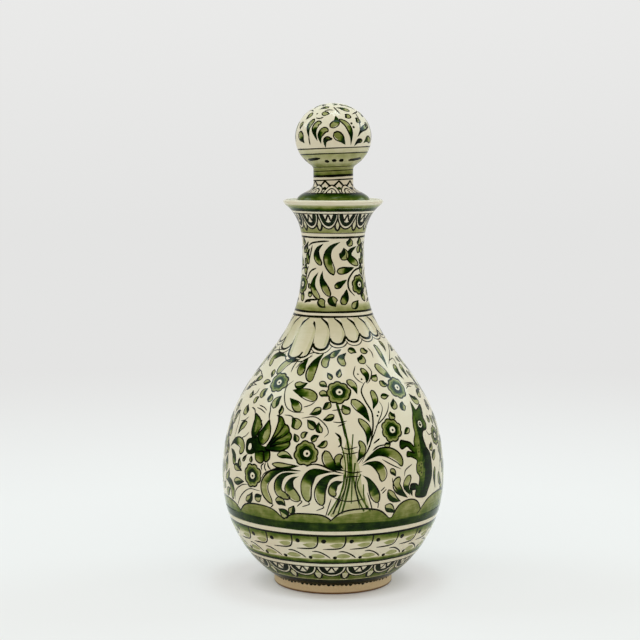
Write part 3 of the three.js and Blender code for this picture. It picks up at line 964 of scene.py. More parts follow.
def paint_creature(sheet):
    """An upright beast of the hedgerow, dark down its back and paler down its front."""
    outline = sheet.shade(
        (64.6, 54, 4), (66, 50, 4), (67, 47.4, 3), (70, 48, 3.4), (75.8, 50.2, 5), (75, 45.7, 5),
        (73.4, 43, 4.6), (72.8, 40.6, 3.4), (73.8, 37, 2.6), (72, 33.7, 3), (67.5, 33, 5),
        (65.6, 29.5, 5.4), (67, 23, 5.4), (70.2, 18.9, 5.6), (71, 13.9, 5.6), (70.8, 6.7, 5.6),
        (69, 2.2, 5.6), (66, -2.1, 5.4), (63, -6, 5), (54.2, -4.8, 4.6), (54, -0.8, 4.6),
        (51.6, -0.4, 4.6), (49.4, 0.6, 4.6), (50, 3, 4.6), (54, 2.7, 4.6), (56.4, 1.6, 4),
        (57.4, 6.4, 2.6), (55.2, 9.6, 2.2), (55.2, 13.2, 2.2), (56, 16.4, 3), (51.2, 19, 4.8),
        (48, 19.6, 5), (48.8, 22.4, 5), (52.2, 21.6, 4.8), (54.6, 20.8, 4), (51.8, 23.1, 4.6),
        (49, 25.6, 4.8), (44.8, 24.5, 5), (43.4, 26.5, 5), (44.6, 29.6, 5), (48, 28.9, 4.8),
        (52, 27.6, 4.6), (55, 24.8, 3), (55.8, 28.2, 2.2), (58.3, 32.9, 2.2), (58.4, 36.9, 2.4),
        (60, 42, 2.8), (62.2, 46, 3.6), (63.6, 50, 4),
    )
    dark_back = patch(
        (63.4, 43), (64.4, 36), (64.6, 30), (66.2, 22), (69, 14), (68, 4), (64, -3), (60.4, -3), (62.6, 6),
        (63.6, 14), (62.2, 22), (61.6, 29), (61, 36),
    )
    sheet.lay(dark_back, "green", DARK)
    pale_thigh = patch((56.4, 14.8), (60.4, 15), (61.4, 10.6), (59.6, 6.6), (57, 8.6))
    sheet.lay(pale_thigh, "green", 1.6)
    pale_chest = patch((59, 32.6), (61, 30), (60.2, 22.7), (59.4, 18.4), (57.8, 18), (57, 23.2))
    sheet.lay(pale_chest, "green", 1.9)
    for x, y in ((57.6, 13), (59.2, 11.4), (58, 9.6), (60, 13.6), (59.6, 8.6), (58.8, 21), (59.4, 25)):
        sheet.dot(x, y, 0.55)
    sheet.trace(outline, PLAIN_LINE, (0.8, 0.8))
    eye = (66.2, 37.6)
    sheet.lay(ring(*eye, 3.2, 12), "green", DARK)
    sheet.wipe(ring(*eye, 2.3, 12))
    sheet.lay(ring(*eye, 1.5, 11), "green", DARK)
    sheet.wipe(ring(66.6, 38, 0.55, 8))


def paint_flank(sheet):
    """A stalk with paired leaves between the front and the back of the garden."""
    sheet.line((0, -10), (3, 10), (-3, 34), (2, 56), (-1, 82))
    for y, reach in ((0, 15), (16, 16), (32, 15)):
        sheet.leaf((2, y), (-reach * 0.6, y + 7), (-reach, y - 3), width=5.4, dark=0.55)
        sheet.leaf((1, y + 3), (reach * 0.62, y + 11), (reach, y), width=5.4, dark=0.55)
    sheet.leaf((0, 74), (-9, 84), (-10, 96), width=7, dark=0.5, light=0.8)
    sheet.leaf((0, 72), (10, 80), (13, 92), width=7, dark=0.5, light=0.8)
    sheet.rosette(0, 59, 8.2)
    for root, tip, width in (
        ((-12, 46), (-18, 52), 5), ((13, 47), (19, 53), 5), ((-14, 60), (-20, 66), 5),
        ((14, 63), (20, 69), 5), ((-13, 74), (-19, 79), 4.6), ((16, 78), (21, 84), 4.6),
        ((0, 92), (1, 104), 6.4), ((-8, 110), (-13, 103), 5.4), ((9, 110), (15, 103), 5.4),
        ((-16, -6), (-21, -2), 4), ((16, -6), (21, -2), 4), ((-19, 14), (-20, 21), 3.6),
        ((20, 16), (21, 23), 3.6), ((-20, 34), (-21, 41), 3.8), ((20, 36), (21, 42), 3.8),
        ((-6, -9), (-9, -3), 4), ((7, -9), (10, -3), 4),
    ):
        sheet.drop(root, tip, width)


def paint_collar(sheet):
    """Overlapping petals that hang from the foot of the neck, each with a doubled edge.

    They part to both sides of the longest one, which hangs to the left of the front.
    """
    longest = -41
    # How low the petals hang at places round the shoulder
    places = (-212, -150, -85, longest, -19, 2, 45, 100, 150, 212)
    tips = (126, 127, 116, 97, 107.5, 117, 124, 127, 127, 126)
    petals = 20
    half = sheet.turned.half
    pitch = 2 * half / petals
    for i in range(petals):
        away = (i // 2 + 0.25) * pitch
        mirrored = i % 2 == 1
        centre = longest + (-away if mirrored else away)
        place = (centre + half) % (2 * half) - half
        tip = np.interp(place, places, tips) + sheet.hand.uniform(-1, 1)
        sheet.stand(centre, mirrored)
        edge = bend([
            (-5, COLLAR_TOP), (6, 148), (11.4, 134), (8.4, tip + 7), (4.4, tip + 0.8), (-2, tip - 0.4),
            (-8, tip + 2.6), (-10.6, tip + 8),
        ])
        petal = np.vstack([edge, bend([(-11, tip + 14), (-12, 140), (-16, COLLAR_TOP)])])
        sheet.wipe(petal)
        # The wash deepens towards the neck: painted shade from above.
        sheet.lay(petal, "green", [(tip, 0.08), (tip + 16, 0.12), (COLLAR_TOP, 0.24)])
        side = patch((2, 152), (8, 144), (10, 134), (7, tip + 8), (3, tip + 5), (6, 134))
        sheet.lay(side, "green", 0.3)
        under = bend([(13, tip + 4), (6.6, tip - 3.4), (-2, tip - 5.4), (-9, tip - 2.4), (-12.4, tip + 3.4)])
        sheet.trace(under, FINE_LINE)
        sheet.trace(edge, 1.45, (0.5, 0.7))
    sheet.stand(0)


def paint_neck(sheet):
    """Leaves, buds and a ringed flower between two sets of lines, three times round the neck."""
    sheet.fade((169, 1.3), (177, 0.9), (184, 0.1), wave=1.0)
    sheet.rule(168.2)
    sheet.rule(160.0)
    repeats = 3
    for i in range(repeats):
        sheet.stand(i * 2 * sheet.turned.half / repeats)
        for spine, width, dark, light, fullness in (
            (((15.8, 312), (-5.8, 298), (-12.6, 274), (1.8, 241)), 17, 0.64, 1.3, LEAF),
            (((-21, 308), (-35.2, 295), (-37.4, 278), (-26, 261)), 13.5, 0.7, LIGHT, LEAF),
            (((-32, 247), (-42.4, 230), (-43, 212), (-26, 191)), 12, 0.58, 0.9, LEAF),
            (((-22.6, 250), (-24.4, 232.7), (-17, 215), (-6, 197.6)), 13, 0.58, 1.1, LEAF),
            (((49, 256), (28.2, 250.7), (8, 248)), 14, 0.6, LIGHT, BUD),
            (((29.4, 231), (18, 224), (3.4, 215)), 11, 0.85, LIGHT, BUD),
            (((28, 212), (24.4, 196), (17, 182)), 14, 0.66, 1.3, BUD),
            (((57, 302), (39, 291), (38, 276), (62, 260)), 15, 0.72, LIGHT, LEAF),
            (((86, 298), (77, 282), (80, 262)), 11, 0.6, LIGHT, LEAF),
        ):
            sheet.leaf(*spine, width=width, dark=dark, light=light, fullness=fullness)
        for root, tip, width, dark, light in (
            ((23, 299), (19, 273), 22, 0.9, LIGHT), ((37, 320), (34, 302), 16, 0.9, LIGHT),
            ((62, 321), (64, 303), 14, 0.8, LIGHT), ((73, 305), (60, 287), 13, 0.7, LIGHT),
            ((64, 274), (74, 262), 12, 0.6, LIGHT), ((-58, 222), (-52, 212), 8, 0.7, LIGHT),
            ((53, 189), (35.4, 175.4), 13, 0.6, LIGHT), ((-14, 176), (-24, 194), 15, 0.2, 1.2),
            ((5, 178), (0, 198), 18, 0.95, LIGHT), ((-44, 205), (-54, 198), 11, 0.7, LIGHT),
        ):
            sheet.drop(root, tip, width, dark, light)
        sheet.rosette(61.5, 219.5, 20)
        for spine, dark in (
            (((-60, 312), (-68, 300), (-66, 284)), 0.6), (((-66, 270), (-71, 256), (-67, 240)), 0.5),
            (((-66, 214), (-74, 202), (-68, 186)), 0.55),
        ):
            sheet.leaf(*spine, width=11, dark=dark)
        for line in (
            ((-8.8, 313.4), (-30, 312), (-50, 308.3), (-62, 301)),
            ((-38, 255), (-53.5, 246.8), (-63.5, 228)),
            ((80, 255), (60, 253), (46, 247), (33, 230), (33, 212), (45, 197.6)),
            ((-30, 191), (-48, 190), (-60, 188)), ((-62, 184), (-54, 187), (-45, 187)),
            ((-49, 304), (-54, 288), (-58, 272)), ((-60, 258), (-66, 246), (-66, 230)),
        ):
            sheet.line(*line, width=1.1)
    sheet.stand(0)


def paint_lip(sheet):
    """Lines, a row of swags and green bands under the flare, with the edge left ivory."""
    sheet.rule(321, width=1.2)
    sheet.rule(330, width=0.5)
    sheet.fade((331, 1.1), (342, 0.8), (352, 0.1), (372, 0.0))
    paint_scallops(sheet, count=12, offset=-9.5, top=369, width=30, depth=25, drop=8)
    sheet.rule(369.6, width=0.7)
    sheet.fade((374.4, DARK), (378, 5.2), (381, 3.2))
    sheet.band(374.4, 376.6, "black", 0.25)
    sheet.fade((381, 2.4), (385, 1.3), (388.4, 0.4))


def painted_carafe(materials):
    """The carafe's body in its glaze, with the clay bare at the foot."""
    turned = Turned(frame["nodes"]["carafe_body"], columns=96)
    sheet = Sheet(turned, seed=11)
    paint_foot(sheet)
    sheet.fade((STRIPE_HIGH, 0.6), (-71, 0.5), (-70.2, 3.0), (-66, 2.2), (-61, 1.2), (-55, 0.3))
    paint_scallops(sheet, count=19, offset=-1, top=SWAG_LINE, width=19, depth=10.5, drop=6.5)
    sheet.rule(SWAG_LINE, width=0.9)
    paint_comma_band(sheet)
    paint_ground(sheet)
    for place, mirrored in ((0, False), (turned.half, True)):
        sheet.stand(place, mirrored, GARDEN_RISE)
        paint_upper_leaves(sheet)
        paint_buds(sheet)
        paint_bouquet(sheet)
        paint_flowers(sheet)
        paint_bird(sheet)
        paint_creature(sheet)
        sheet.stand(place + 0.5 * turned.half, mirrored, GARDEN_RISE)
        paint_flank(sheet)
    sheet.stand(0)
    paint_collar(sheet)
    paint_neck(sheet)
    paint_lip(sheet)
    return turned.mesh("painted_carafe", sheet, materials)


# Painting the stopper, with heights on its own flat sheet

# The lines round the ball and the stem run a little askew, by this many units each way.
ASKEW = 1.0
# The flange's dark line, which the arches of the skirt stand on
ARCH_FOOT = -58.4


def paint_ball(sheet):
    """Two-toned leaves that spring from the ball's double line, twice round."""
    for place, mirrored in ((0, False), (sheet.turned.half, True)):
        sheet.stand(place, mirrored)
        for spine, width, dark, light in (
            (((-19.4, -3.6), (-22.4, 0), (-25, 3)), 5, 0.5, 1.2),
            (((-15.2, -1), (-16.6, 6.2), (-13.4, 12)), 3.1, 0.56, 1.0),
            (((-9.6, -2.4), (-12, 4.3), (-10.2, 8.8), (-7.8, 8.6)), 3.4, 0.56, 1.0),
            (((-7.4, -4), (-8, 0.8), (-5.6, 4.2), (-2.9, 3.8)), 3.3, 0.5, 1.2),
            (((-4.7, -6.5), (-4.9, -2.6), (-3.4, -0.9), (-1.6, -1.4)), 2.3, 0.8, 1.2),
            (((7.4, -4.5), (4.6, -0.9), (0.4, 2.6)), 5.0, 0.46, 1.5),
            (((11, -5), (10.8, 2.5), (8.6, 8), (4, 11.8)), 3.1, 0.5, 1.1),
            (((1.7, 15), (2, 9.4), (-2, 6.2)), 4.4, 0.55, 1.2),
            (((13.3, -5.4), (16, -2.4), (19.4, -2.2)), 2.3, 0.8, 1.2),
            (((15.2, 0), (20, 4.8), (28, 7.4)), 3.0, 0.55, 1.0),
            (((20.6, -3.4), (25, -1), (29.6, -2.6)), 3.6, 0.5, 1.0),
            (((30, -3), (34, 4), (32, 12)), 4.4, 0.55, 1.0),
            (((-15, 23.2), (-10.4, 26.6), (-5.2, 28.4)), 5, 0.6, 1.0),
            (((2.4, 26.6), (9, 25), (15.6, 20.6)), 5, 0.6, 1.0),
            (((26, 22), (24, 30), (18, 36)), 6, 0.55, 1.0),
            (((-24, 24), (-26, 32), (-20, 40)), 7, 0.5, 1.0),
            (((-30, -3), (-33, 3), (-31, 10)), 4.4, 0.55, 1.0),
            (((0, 33), (4, 40), (0, 48)), 8, 0.5, 1.0),
        ):
            sheet.leaf(*spine, width=width, dark=dark, light=light)
        for root, tip, width, dark in (
            ((-24.6, 4.6), (-23.8, 9.8), 3.4, 0.6), ((-22, 11.6), (-19.4, 18.4), 4.6, 0.5),
            ((-2.6, 16.8), (-9.4, 17), 5, 0.25), ((8.6, 13), (12.6, 16.4), 4.6, 0.4),
            ((16.2, 9.6), (19.8, 12.6), 4.4, 0.7), ((24, 6.4), (28, 9), 4, 0.6),
            ((-32, 14), (-33, 22), 5, 0.6), ((27, 14), (32, 20), 5, 0.6), ((-14, 31), (-18, 38), 6, 0.6),
            ((12, 32), (16, 40), 6, 0.5),
        ):
            sheet.drop(root, tip, width, dark=dark)
        for line in (
            ((-15, -4.6), (-15.6, 0)), ((0.2, 28.4), (3, 22), (5.4, 16.6)),
            ((21, 19.4), (19.8, 11.5), (17.6, 3)), ((-13, 13), (-10, 12.4), (-7, 13.6)),
            ((-20, 20), (-24, 22), (-29, 21)), ((16, 16.6), (20, 18), (29, 21)),
            ((-8, 21), (-4, 22.4), (0, 21.6)),
        ):
            sheet.line(*line)
        for x, y in ((12.2, 8.6), (13.2, 6.1), (-13.6, 17), (-1.4, -1)):
            sheet.dot(x, y, 0.9)
    sheet.stand(0)


def paint_stem(sheet):
    """Bands round the stem and the underside of the ball, with dots and dashes between."""
    sheet.fade(
        (-25.8, 1.3), (-22.5, 1.0), (-20.2, 0.45), (-16, 0.4), (-13.8, 0.7), (-10.6, 0.9), tilt=ASKEW,
    )
    sheet.fade((-36.6, 2.6), (-33.4, 1.6), (-29, 1.15), (-25.8, 1.1), tilt=ASKEW)
    sheet.fade((-10.4, 0.4), (-6.6, 0.2), tilt=ASKEW)
    for rise, width in ((-41, 0.8), (-36.4, 1.4), (-30.6, 0.55), (-26, 0.45), (-10.4, 0.8), (-6.6, 0.75)):
        sheet.rule(rise, width=width, tilt=ASKEW)
    repeats = 4
    pitch = 2 * sheet.turned.half / repeats
    for i in range(repeats):
        sheet.stand(i * pitch)
        for x, y in ((-5.1, -17.9), (0.7, -17.0), (6.5, -16.6)):
            sheet.dot(x, y, 1.9)
        sheet.line((12.4, -16.4), (17.6, -15.9), (26, -14.6), width=2.2)
    sheet.stand(0)


def paint_skirt(sheet):
    """Arches that stand on the flange, with a peak between each two, over a green rim."""
    turned = sheet.turned
    sheet.fade((turned.low, 1.6), (-66, 2.1), (-62, 3.6), (-58.5, DARK))
    sheet.band(-60.2, -58, "black", 0.6)
    arches = 9
    pitch = 2 * turned.half / arches
    half_turn = np.linspace(0, math.pi, 13)
    for i in range(arches):
        sheet.stand(i * pitch - 1.5)
        for reach, rise, amount in ((7.8, 12.3, DARK), (6.6, 10.8, 0), (4.8, 8.1, DARK), (3.6, 6.4, 0)):
            arch = np.c_[reach * np.cos(half_turn), ARCH_FOOT + rise * np.sin(half_turn)]
            sheet.lay(arch, "green", amount)
            sheet.lay(arch, "black", 0.06 * amount)
        sheet.line((0, -58.2), (0.4, -56), (-0.2, -53.6))
        between = pitch / 2
        peak = (
            (between - 6.4, -48.6), (between - 2.6, -44.8), (between, -42.6), (between + 2.8, -45),
            (between + 6.4, -48.6),
        )
        sheet.line(*peak, width=1.2, ends=(0.8, 0.8))
        sheet.lay(ring(between, -51, 2.2, 10), "green", DARK)
    sheet.stand(0)


def painted_stopper(materials):
    """The stopper in its glaze, with the clay bare on the plug."""
    turned = Turned(frame["nodes"]["stopper"], columns=72)
    sheet = Sheet(turned, seed=23)
    paint_skirt(sheet)
    paint_stem(sheet)
    paint_ball(sheet)
    return turned.mesh("painted_stopper", sheet, materials)


# Materials

# The ivory body's colour and what it drifts to
IVORY, WARM_IVORY = "#d5d2be", "#d3c3ab"
# What one unit of pigment lets through: the first wash of green, a coat over it, and the lines' brown black
OLIVE_WASH, GREEN_COAT, BROWN_BLACK = "#abb484", "#a3c076", "#2b300c"
# The bare clay, its paler stains, and the dark brown of the painted contact shade along the edge that stands
# on the table
CLAY, PALE_CLAY, CONTACT_SHADE_BROWN = "#d6bc92", "#dfcaa6", "#73502f"
# Nearly all of a noise lies between these values.
NOISE = {"From Min": 0.3, "From Max": 0.7}
# Settings of a mix of two colours, and of one that lays a colour over another like a filter
BLEND = {"data_type": "RGBA"}
FILTER = {"data_type": "RGBA", "blend_type": "MULTIPLY"}


def linear(colour):
    """An sRGB hex colour as linear red, green, blue and alpha."""
    channels = [int(colour[i:i + 2], 16) / 255 for i in (1, 3, 5)]
    return [c / 12.92 if c <= 0.04045 else ((c + 0.055) / 1.055) ** 2.4 for c in channels] + [1.0]


def add_node(tree, kind, inputs=None, **settings):
    """Adds a node. An input takes a plain value, or another node's output to link to."""
    node = tree.nodes.new(kind)
    for name, value in settings.items():
        setattr(node, name, value)
    for socket, value in (inputs or {}).items():
        if isinstance(value, bpy.types.NodeSocket):
            tree.links.new(value, node.inputs[socket])
        else:
            node.inputs[socket].default_value = value
    return node


def new_material(name):
    """An empty material, and its nodes."""
    material = bpy.data.materials.new(name)
    material.use_nodes = True
    material.node_tree.nodes.clear()
    return material, material.node_tree


def brushed_underglaze(name):
    """Cast earthenware, painted by brush under a clear gloss glaze that was fired on.

    The eye sees washes that pool and streak, lines nearly black, a ground that isn't quite even, and over
    it all a smooth skin of glass whose faint ripple bends the reflections.
    """
    material, tree = new_material(name)
    place = add_node(tree, "ShaderNodeTexCoord").outputs["Object"]
    # Pools where the wet colour gathered, about 5 mm across
    pools = add_node(tree, "ShaderNodeTexNoise", {"Vector": place, "Scale": 1 / (5 * MM), "Detail": 3.0})
    # Streaks that the turning wheel drew out: under a millimetre high, many times as long
    drawn = add_node(tree, "ShaderNodeVectorMath", {0: place, 1: (0.12, 0.12, 1.0)}, operation="MULTIPLY")
    streaks = add_node(
        tree, "ShaderNodeTexNoise", {"Vector": drawn.outputs[0], "Scale": 1 / (0.9 * MM), "Detail": 2.0},
    )
    pooled = add_node(
        tree, "ShaderNodeMapRange",
        {"Value": pools.outputs["Fac"], **NOISE, "To Min": 0.7, "To Max": 1.25},
    )
    streaked = add_node(
        tree, "ShaderNodeMapRange",
        {"Value": streaks.outputs["Fac"], **NOISE, "To Min": 0.86, "To Max": 1.14},
    )
    uneven = add_node(
        tree, "ShaderNodeMath", {0: pooled.outputs[0], 1: streaked.outputs[0]}, operation="MULTIPLY",
    )
    green = add_node(tree, "ShaderNodeAttribute", attribute_name="green")
    black = add_node(tree, "ShaderNodeAttribute", attribute_name="black")
    green_amount = add_node(
        tree, "ShaderNodeMath", {0: green.outputs["Fac"], 1: uneven.outputs[0]}, operation="MULTIPLY",
    )
    # What one unit of pigment lets through, to the power of the amount, is what the whole coat lets through.
    wash = add_node(
        tree, "ShaderNodeMath", {0: green_amount.outputs[0], 1: WASH_DEPTH}, operation="MINIMUM",
    )
    coat = add_node(
        tree, "ShaderNodeMath", {0: green_amount.outputs[0], 1: wash.outputs[0]}, operation="SUBTRACT",
    )
    through_wash = add_node(
        tree, "ShaderNodeGamma", {"Color": linear(OLIVE_WASH), "Gamma": wash.outputs[0]},
    )
    through_coat = add_node(
        tree, "ShaderNodeGamma", {"Color": linear(GREEN_COAT), "Gamma": coat.outputs[0]},
    )
    through_green = add_node(
        tree, "ShaderNodeMix",
        {"Factor": 1.0, "A": through_wash.outputs[0], "B": through_coat.outputs[0]}, **FILTER,
    )
    through_black = add_node(
        tree, "ShaderNodeGamma", {"Color": linear(BROWN_BLACK), "Gamma": black.outputs["Fac"]},
    )
    # The body's own colour drifts over a few centimetres.
    drift = add_node(tree, "ShaderNodeTexNoise", {"Vector": place, "Scale": 1 / (28 * MM), "Detail": 2.0})
    body = add_node(
        tree, "ShaderNodeMix",
        {"Factor": drift.outputs["Fac"], "A": linear(IVORY), "B": linear(WARM_IVORY)}, **BLEND,
    )
    washed = add_node(
        tree, "ShaderNodeMix",
        {"Factor": 1.0, "A": body.outputs["Result"], "B": through_green.outputs["Result"]}, **FILTER,
    )
    painted = add_node(
        tree, "ShaderNodeMix",
        {"Factor": 1.0, "A": washed.outputs["Result"], "B": through_black.outputs[0]}, **FILTER,
    )
    # The glaze's ripple, about 13 mm from crest to crest and a few hundredths of a millimetre deep
    ripple = add_node(tree, "ShaderNodeTexNoise", {"Vector": place, "Scale": 1 / (13 * MM), "Detail": 1.0})
    skin = add_node(
        tree, "ShaderNodeBump", {"Height": ripple.outputs["Fac"], "Distance": 0.05 * MM, "Strength": 1.0},
    )
    gloss = add_node(
        tree, "ShaderNodeMapRange",
        {"Value": pools.outputs["Fac"], **NOISE, "To Min": 0.1, "To Max": 0.18},
    )
    surface = add_node(
        tree, "ShaderNodeBsdfPrincipled",
        {"Base Color": painted.outputs["Result"], "Roughness": gloss.outputs[0], "IOR": 1.45,
         "Specular IOR Level": 0.1, "Normal": skin.outputs[0]},
    )
    add_node(tree, "ShaderNodeOutputMaterial", {"Surface": surface.outputs[0]})
    return material


def bare_earthenware():
    """Biscuit-fired clay with its glaze wiped off: warm, matt and finely gritty."""
    material, tree = new_material("bare_biscuit_earthenware")
    place = add_node(tree, "ShaderNodeTexCoord").outputs["Object"]
    stain = add_node(tree, "ShaderNodeTexNoise", {"Vector": place, "Scale": 1 / (9 * MM), "Detail": 4.0})
    # Grit of about half a millimetre
    grit = add_node(tree, "ShaderNodeTexNoise", {"Vector": place, "Scale": 1 / (0.5 * MM), "Detail": 2.0})
    colour = add_node(
        tree, "ShaderNodeMix",
        {"Factor": stain.outputs["Fac"], "A": linear(PALE_CLAY), "B": linear(CLAY)}, **BLEND,
    )
    speckle = add_node(
        tree, "ShaderNodeMapRange",
        {"Value": grit.outputs["Fac"], **NOISE, "To Min": 0.9, "To Max": 1.06},
    )
    speckled = add_node(
        tree, "ShaderNodeMix",
        {"Factor": 1.0, "A": colour.outputs["Result"], "B": speckle.outputs[0]}, **FILTER,
    )
    # Painted contact shade: a dark brown band, about a millimetre high, where the foot meets the table
    height = add_node(tree, "ShaderNodeSeparateXYZ", {"Vector": place})
    above_contact_shade = add_node(
        tree, "ShaderNodeMapRange",
        {"Value": height.outputs["Z"], "From Min": 0.8 * MM, "From Max": 1.5 * MM},
    )
    contact_shaded = add_node(
        tree, "ShaderNodeMix",
        {"Factor": above_contact_shade.outputs[0], "A": linear(CONTACT_SHADE_BROWN), "B": speckled.outputs["Result"]}, **BLEND,
    )
    skin = add_node(
        tree, "ShaderNodeBump", {"Height": grit.outputs["Fac"], "Distance": 0.06 * MM, "Strength": 0.6},
    )
    surface = add_node(
        tree, "ShaderNodeBsdfPrincipled",
        {"Base Color": contact_shaded.outputs["Result"], "Roughness": 0.85, "IOR": 1.5, "Normal": skin.outputs[0]},
    )
    add_node(tree, "ShaderNodeOutputMaterial", {"Surface": surface.outputs[0]})
    return material


# Studio

# The backdrop as the camera and the glaze see it, at the horizon and higher up, and the slopes between
HORIZON = "#e4e4e3"
UPPER_WALL = "#eaeae9"
WALL_LOW, WALL_HIGH = -0.05, 0.09
FLOOR = "#f4f4f4"
# Near the carafe the camera sees this even tone as a share of the paper, and the shadow as the rest.
NEAR_PAPER = "#e4e4e4"
NEAR_SHARE = 0.6
# The share is less next to the foot, between these distances from the axis, in metres.
CONTACT_SHARE = 0.1
CONTACT_NEAR, CONTACT_FAR = 0.036, 0.054
FLOOR_RADIUS = 3.0
# The paper lies this far under the foot, so that no faces coincide.
FLOOR_GAP = 0.2 * MM
# The floor turns into the backdrop between these distances from the carafe.
FLOOR_NEAR, FLOOR_FAR = 0.3, 1.0
# How brightly the front and the back of the room light matt surfaces, and the colour of that light
FRONT_LIGHT, BACK_LIGHT = 0.91, 0.38
ROOM_LIGHT = "#fff4e4"
# How bright the front of the room is where the glaze mirrors it, as a share of the wall behind the carafe
FRONT_OF_ROOM = 0.1
# The lamps are a little cooler than the room, and point at the belly.
LAMP = "#d3eef6"
BELLY = (0, 0, 0.13)
# The camera stands about a metre off at the height of the stopper's ball. Its angles are in degrees.
CAMERA_PLACE = (0, -1.0172, 0.2670)
CAMERA_PITCH, CAMERA_TURN = 5.99, 0.448
FOCAL_LENGTH, SENSOR_WIDTH = 95.0, 36.0


def seen_directly(tree):
    """1 for rays from the camera, mirror reflections and rays through glass, else 0."""
    path = add_node(tree, "ShaderNodeLightPath")
    first = add_node(
        tree, "ShaderNodeMath",
        {0: path.outputs["Is Camera Ray"], 1: path.outputs["Is Glossy Ray"]}, operation="MAXIMUM",
    )
    return add_node(
        tree, "ShaderNodeMath",
        {0: first.outputs[0], 1: path.outputs["Is Transmission Ray"]}, operation="MAXIMUM",
    ).outputs[0]


def studio_wall():
    """The pale wall that the camera and the glaze see, and the room's soft light on matt surfaces."""
    world = bpy.data.worlds.new("pale_studio")
    bpy.context.scene.world = world
    world.use_nodes = True
    tree = world.node_tree
    tree.nodes.clear()
    way = add_node(tree, "ShaderNodeTexCoord").outputs["Generated"]
    up = add_node(tree, "ShaderNodeSeparateXYZ", {"Vector": way})
    rise = add_node(
        tree, "ShaderNodeMapRange",
        {"Value": up.outputs["Z"], "From Min": WALL_LOW, "From Max": WALL_HIGH},
    )
    colour = add_node(
        tree, "ShaderNodeMix",
        {"Factor": rise.outputs[0], "A": linear(HORIZON), "B": linear(UPPER_WALL)}, **BLEND,
    )
    # The wall stands behind the carafe. Mirrored, the front of the room is dim.
    path = add_node(tree, "ShaderNodeLightPath")
    depth = add_node(
        tree, "ShaderNodeMapRange",
        {"Value": up.outputs["Y"], "From Min": -0.1, "From Max": 0.9,
         "To Min": FRONT_OF_ROOM, "To Max": 1.0},
        interpolation_type="SMOOTHSTEP",
    )
    level = add_node(
        tree, "ShaderNodeMath", {0: depth.outputs[0], 1: path.outputs["Is Camera Ray"]}, operation="MAXIMUM",
    )
    wall = add_node(
        tree, "ShaderNodeBackground", {"Color": colour.outputs["Result"], "Strength": level.outputs[0]},
    )
    glow = add_node(
        tree, "ShaderNodeMapRange",
        {"Value": up.outputs["Y"], "From Min": -1.0, "From Max": 1.0,
         "To Min": FRONT_LIGHT, "To Max": BACK_LIGHT},
    )
    light = add_node(
        tree, "ShaderNodeBackground", {"Color": linear(ROOM_LIGHT), "Strength": glow.outputs[0]},
    )
    mixed = add_node(
        tree, "ShaderNodeMixShader", {0: seen_directly(tree), 1: light.outputs[0], 2: wall.outputs[0]},
    )
    add_node(tree, "ShaderNodeOutputWorld", {"Surface": mixed.outputs[0]})


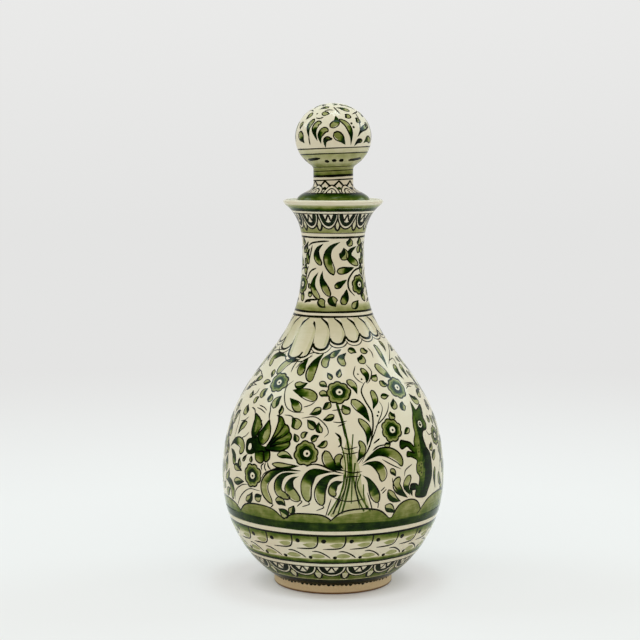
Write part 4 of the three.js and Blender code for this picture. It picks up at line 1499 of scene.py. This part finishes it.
def studio_floor():
    """Seamless white paper: it catches the shadow near the carafe and melts into the wall further off."""
    work = bmesh.new()
    bmesh.ops.create_circle(work, cap_ends=True, radius=FLOOR_RADIUS, segments=96)
    bmesh.ops.translate(work, verts=work.verts, vec=(0, 0, -FLOOR_GAP))
    data = bpy.data.meshes.new("paper_floor")
    work.to_mesh(data)
    work.free()
    floor = bpy.data.objects.new("paper_floor", data)
    bpy.context.scene.collection.objects.link(floor)
    material, tree = new_material("matt_white_paper")
    place = add_node(tree, "ShaderNodeNewGeometry").outputs["Position"]
    distance = add_node(tree, "ShaderNodeVectorMath", {0: place}, operation="LENGTH")
    far = add_node(
        tree, "ShaderNodeMapRange",
        {"Value": distance.outputs["Value"], "From Min": FLOOR_NEAR, "From Max": FLOOR_FAR},
    )
    near = add_node(
        tree, "ShaderNodeMapRange",
        {"Value": distance.outputs["Value"], "From Min": CONTACT_NEAR, "From Max": CONTACT_FAR,
         "To Min": CONTACT_SHARE, "To Max": NEAR_SHARE},
    )
    share = add_node(
        tree, "ShaderNodeMapRange", {"Value": far.outputs[0], "To Min": near.outputs[0], "To Max": 1.0},
    )
    path = add_node(tree, "ShaderNodeLightPath")
    lifted = add_node(
        tree, "ShaderNodeMath",
        {0: share.outputs[0], 1: path.outputs["Is Camera Ray"]}, operation="MULTIPLY",
    )
    distant = add_node(
        tree, "ShaderNodeMath", {0: far.outputs[0], 1: seen_directly(tree)}, operation="MULTIPLY",
    )
    hidden = add_node(
        tree, "ShaderNodeMath", {0: lifted.outputs[0], 1: distant.outputs[0]}, operation="MAXIMUM",
    )
    backdrop = add_node(
        tree, "ShaderNodeMix",
        {"Factor": far.outputs[0], "A": linear(NEAR_PAPER), "B": linear(HORIZON)}, **BLEND,
    )
    paper = add_node(tree, "ShaderNodeBsdfDiffuse", {"Color": linear(FLOOR), "Roughness": 0.5})
    wall = add_node(tree, "ShaderNodeEmission", {"Color": backdrop.outputs["Result"], "Strength": 1.0})
    mixed = add_node(
        tree, "ShaderNodeMixShader", {0: hidden.outputs[0], 1: paper.outputs[0], 2: wall.outputs[0]},
    )
    add_node(tree, "ShaderNodeOutputMaterial", {"Surface": mixed.outputs[0]})
    data.materials.append(material)


def softbox(name, place, width, height, brightness):
    """A soft panel of light over the carafe. The brightness is what a mirror would show, with 1 as white."""
    lamp = bpy.data.lights.new(name, "AREA")
    lamp.shape = "RECTANGLE"
    lamp.size = width
    lamp.size_y = height
    lamp.color = linear(LAMP)[:3]
    lamp.energy = brightness * math.pi * width * height
    panel = bpy.data.objects.new(name, lamp)
    panel.location = place
    panel.rotation_euler = (Vector(BELLY) - Vector(place)).to_track_quat("-Z", "Y").to_euler()
    bpy.context.scene.collection.objects.link(panel)


def studio_lights():
    """Two panels high over the carafe, and one at each side."""
    softbox("top_panel", (0.06, 0.04, 1.35), 0.38, 0.32, 16.0)
    softbox("front_panel", (0.03, -0.6, 1.35), 0.62, 0.08, 14.0)
    softbox("left_panel", (-1.0, 0.18, 0.89), 0.6, 0.4, 6.5)
    softbox("right_panel", (1.0, 0.36, 0.78), 0.6, 0.4, 6.5)


def camera():
    """Stands in front of the carafe and looks a little down."""
    lens = bpy.data.cameras.new("camera")
    lens.lens = FOCAL_LENGTH
    lens.sensor_width = SENSOR_WIDTH
    view = bpy.data.objects.new("camera", lens)
    view.location = CAMERA_PLACE
    view.rotation_euler = (math.pi / 2 - math.radians(CAMERA_PITCH), 0, math.radians(CAMERA_TURN))
    bpy.context.scene.collection.objects.link(view)
    bpy.context.scene.camera = view


bpy.context.scene.view_settings.view_transform = "Standard"
camera()
studio_wall()
studio_floor()
studio_lights()

clay = bare_earthenware()
carafe = painted_carafe([brushed_underglaze("brushed_underglaze_earthenware"), clay])
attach(carafe, "body")
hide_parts("carafe_body")

stopper = painted_stopper([brushed_underglaze("brushed_underglaze_stopper"), clay])
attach(stopper, "stopper")
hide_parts("stopper")
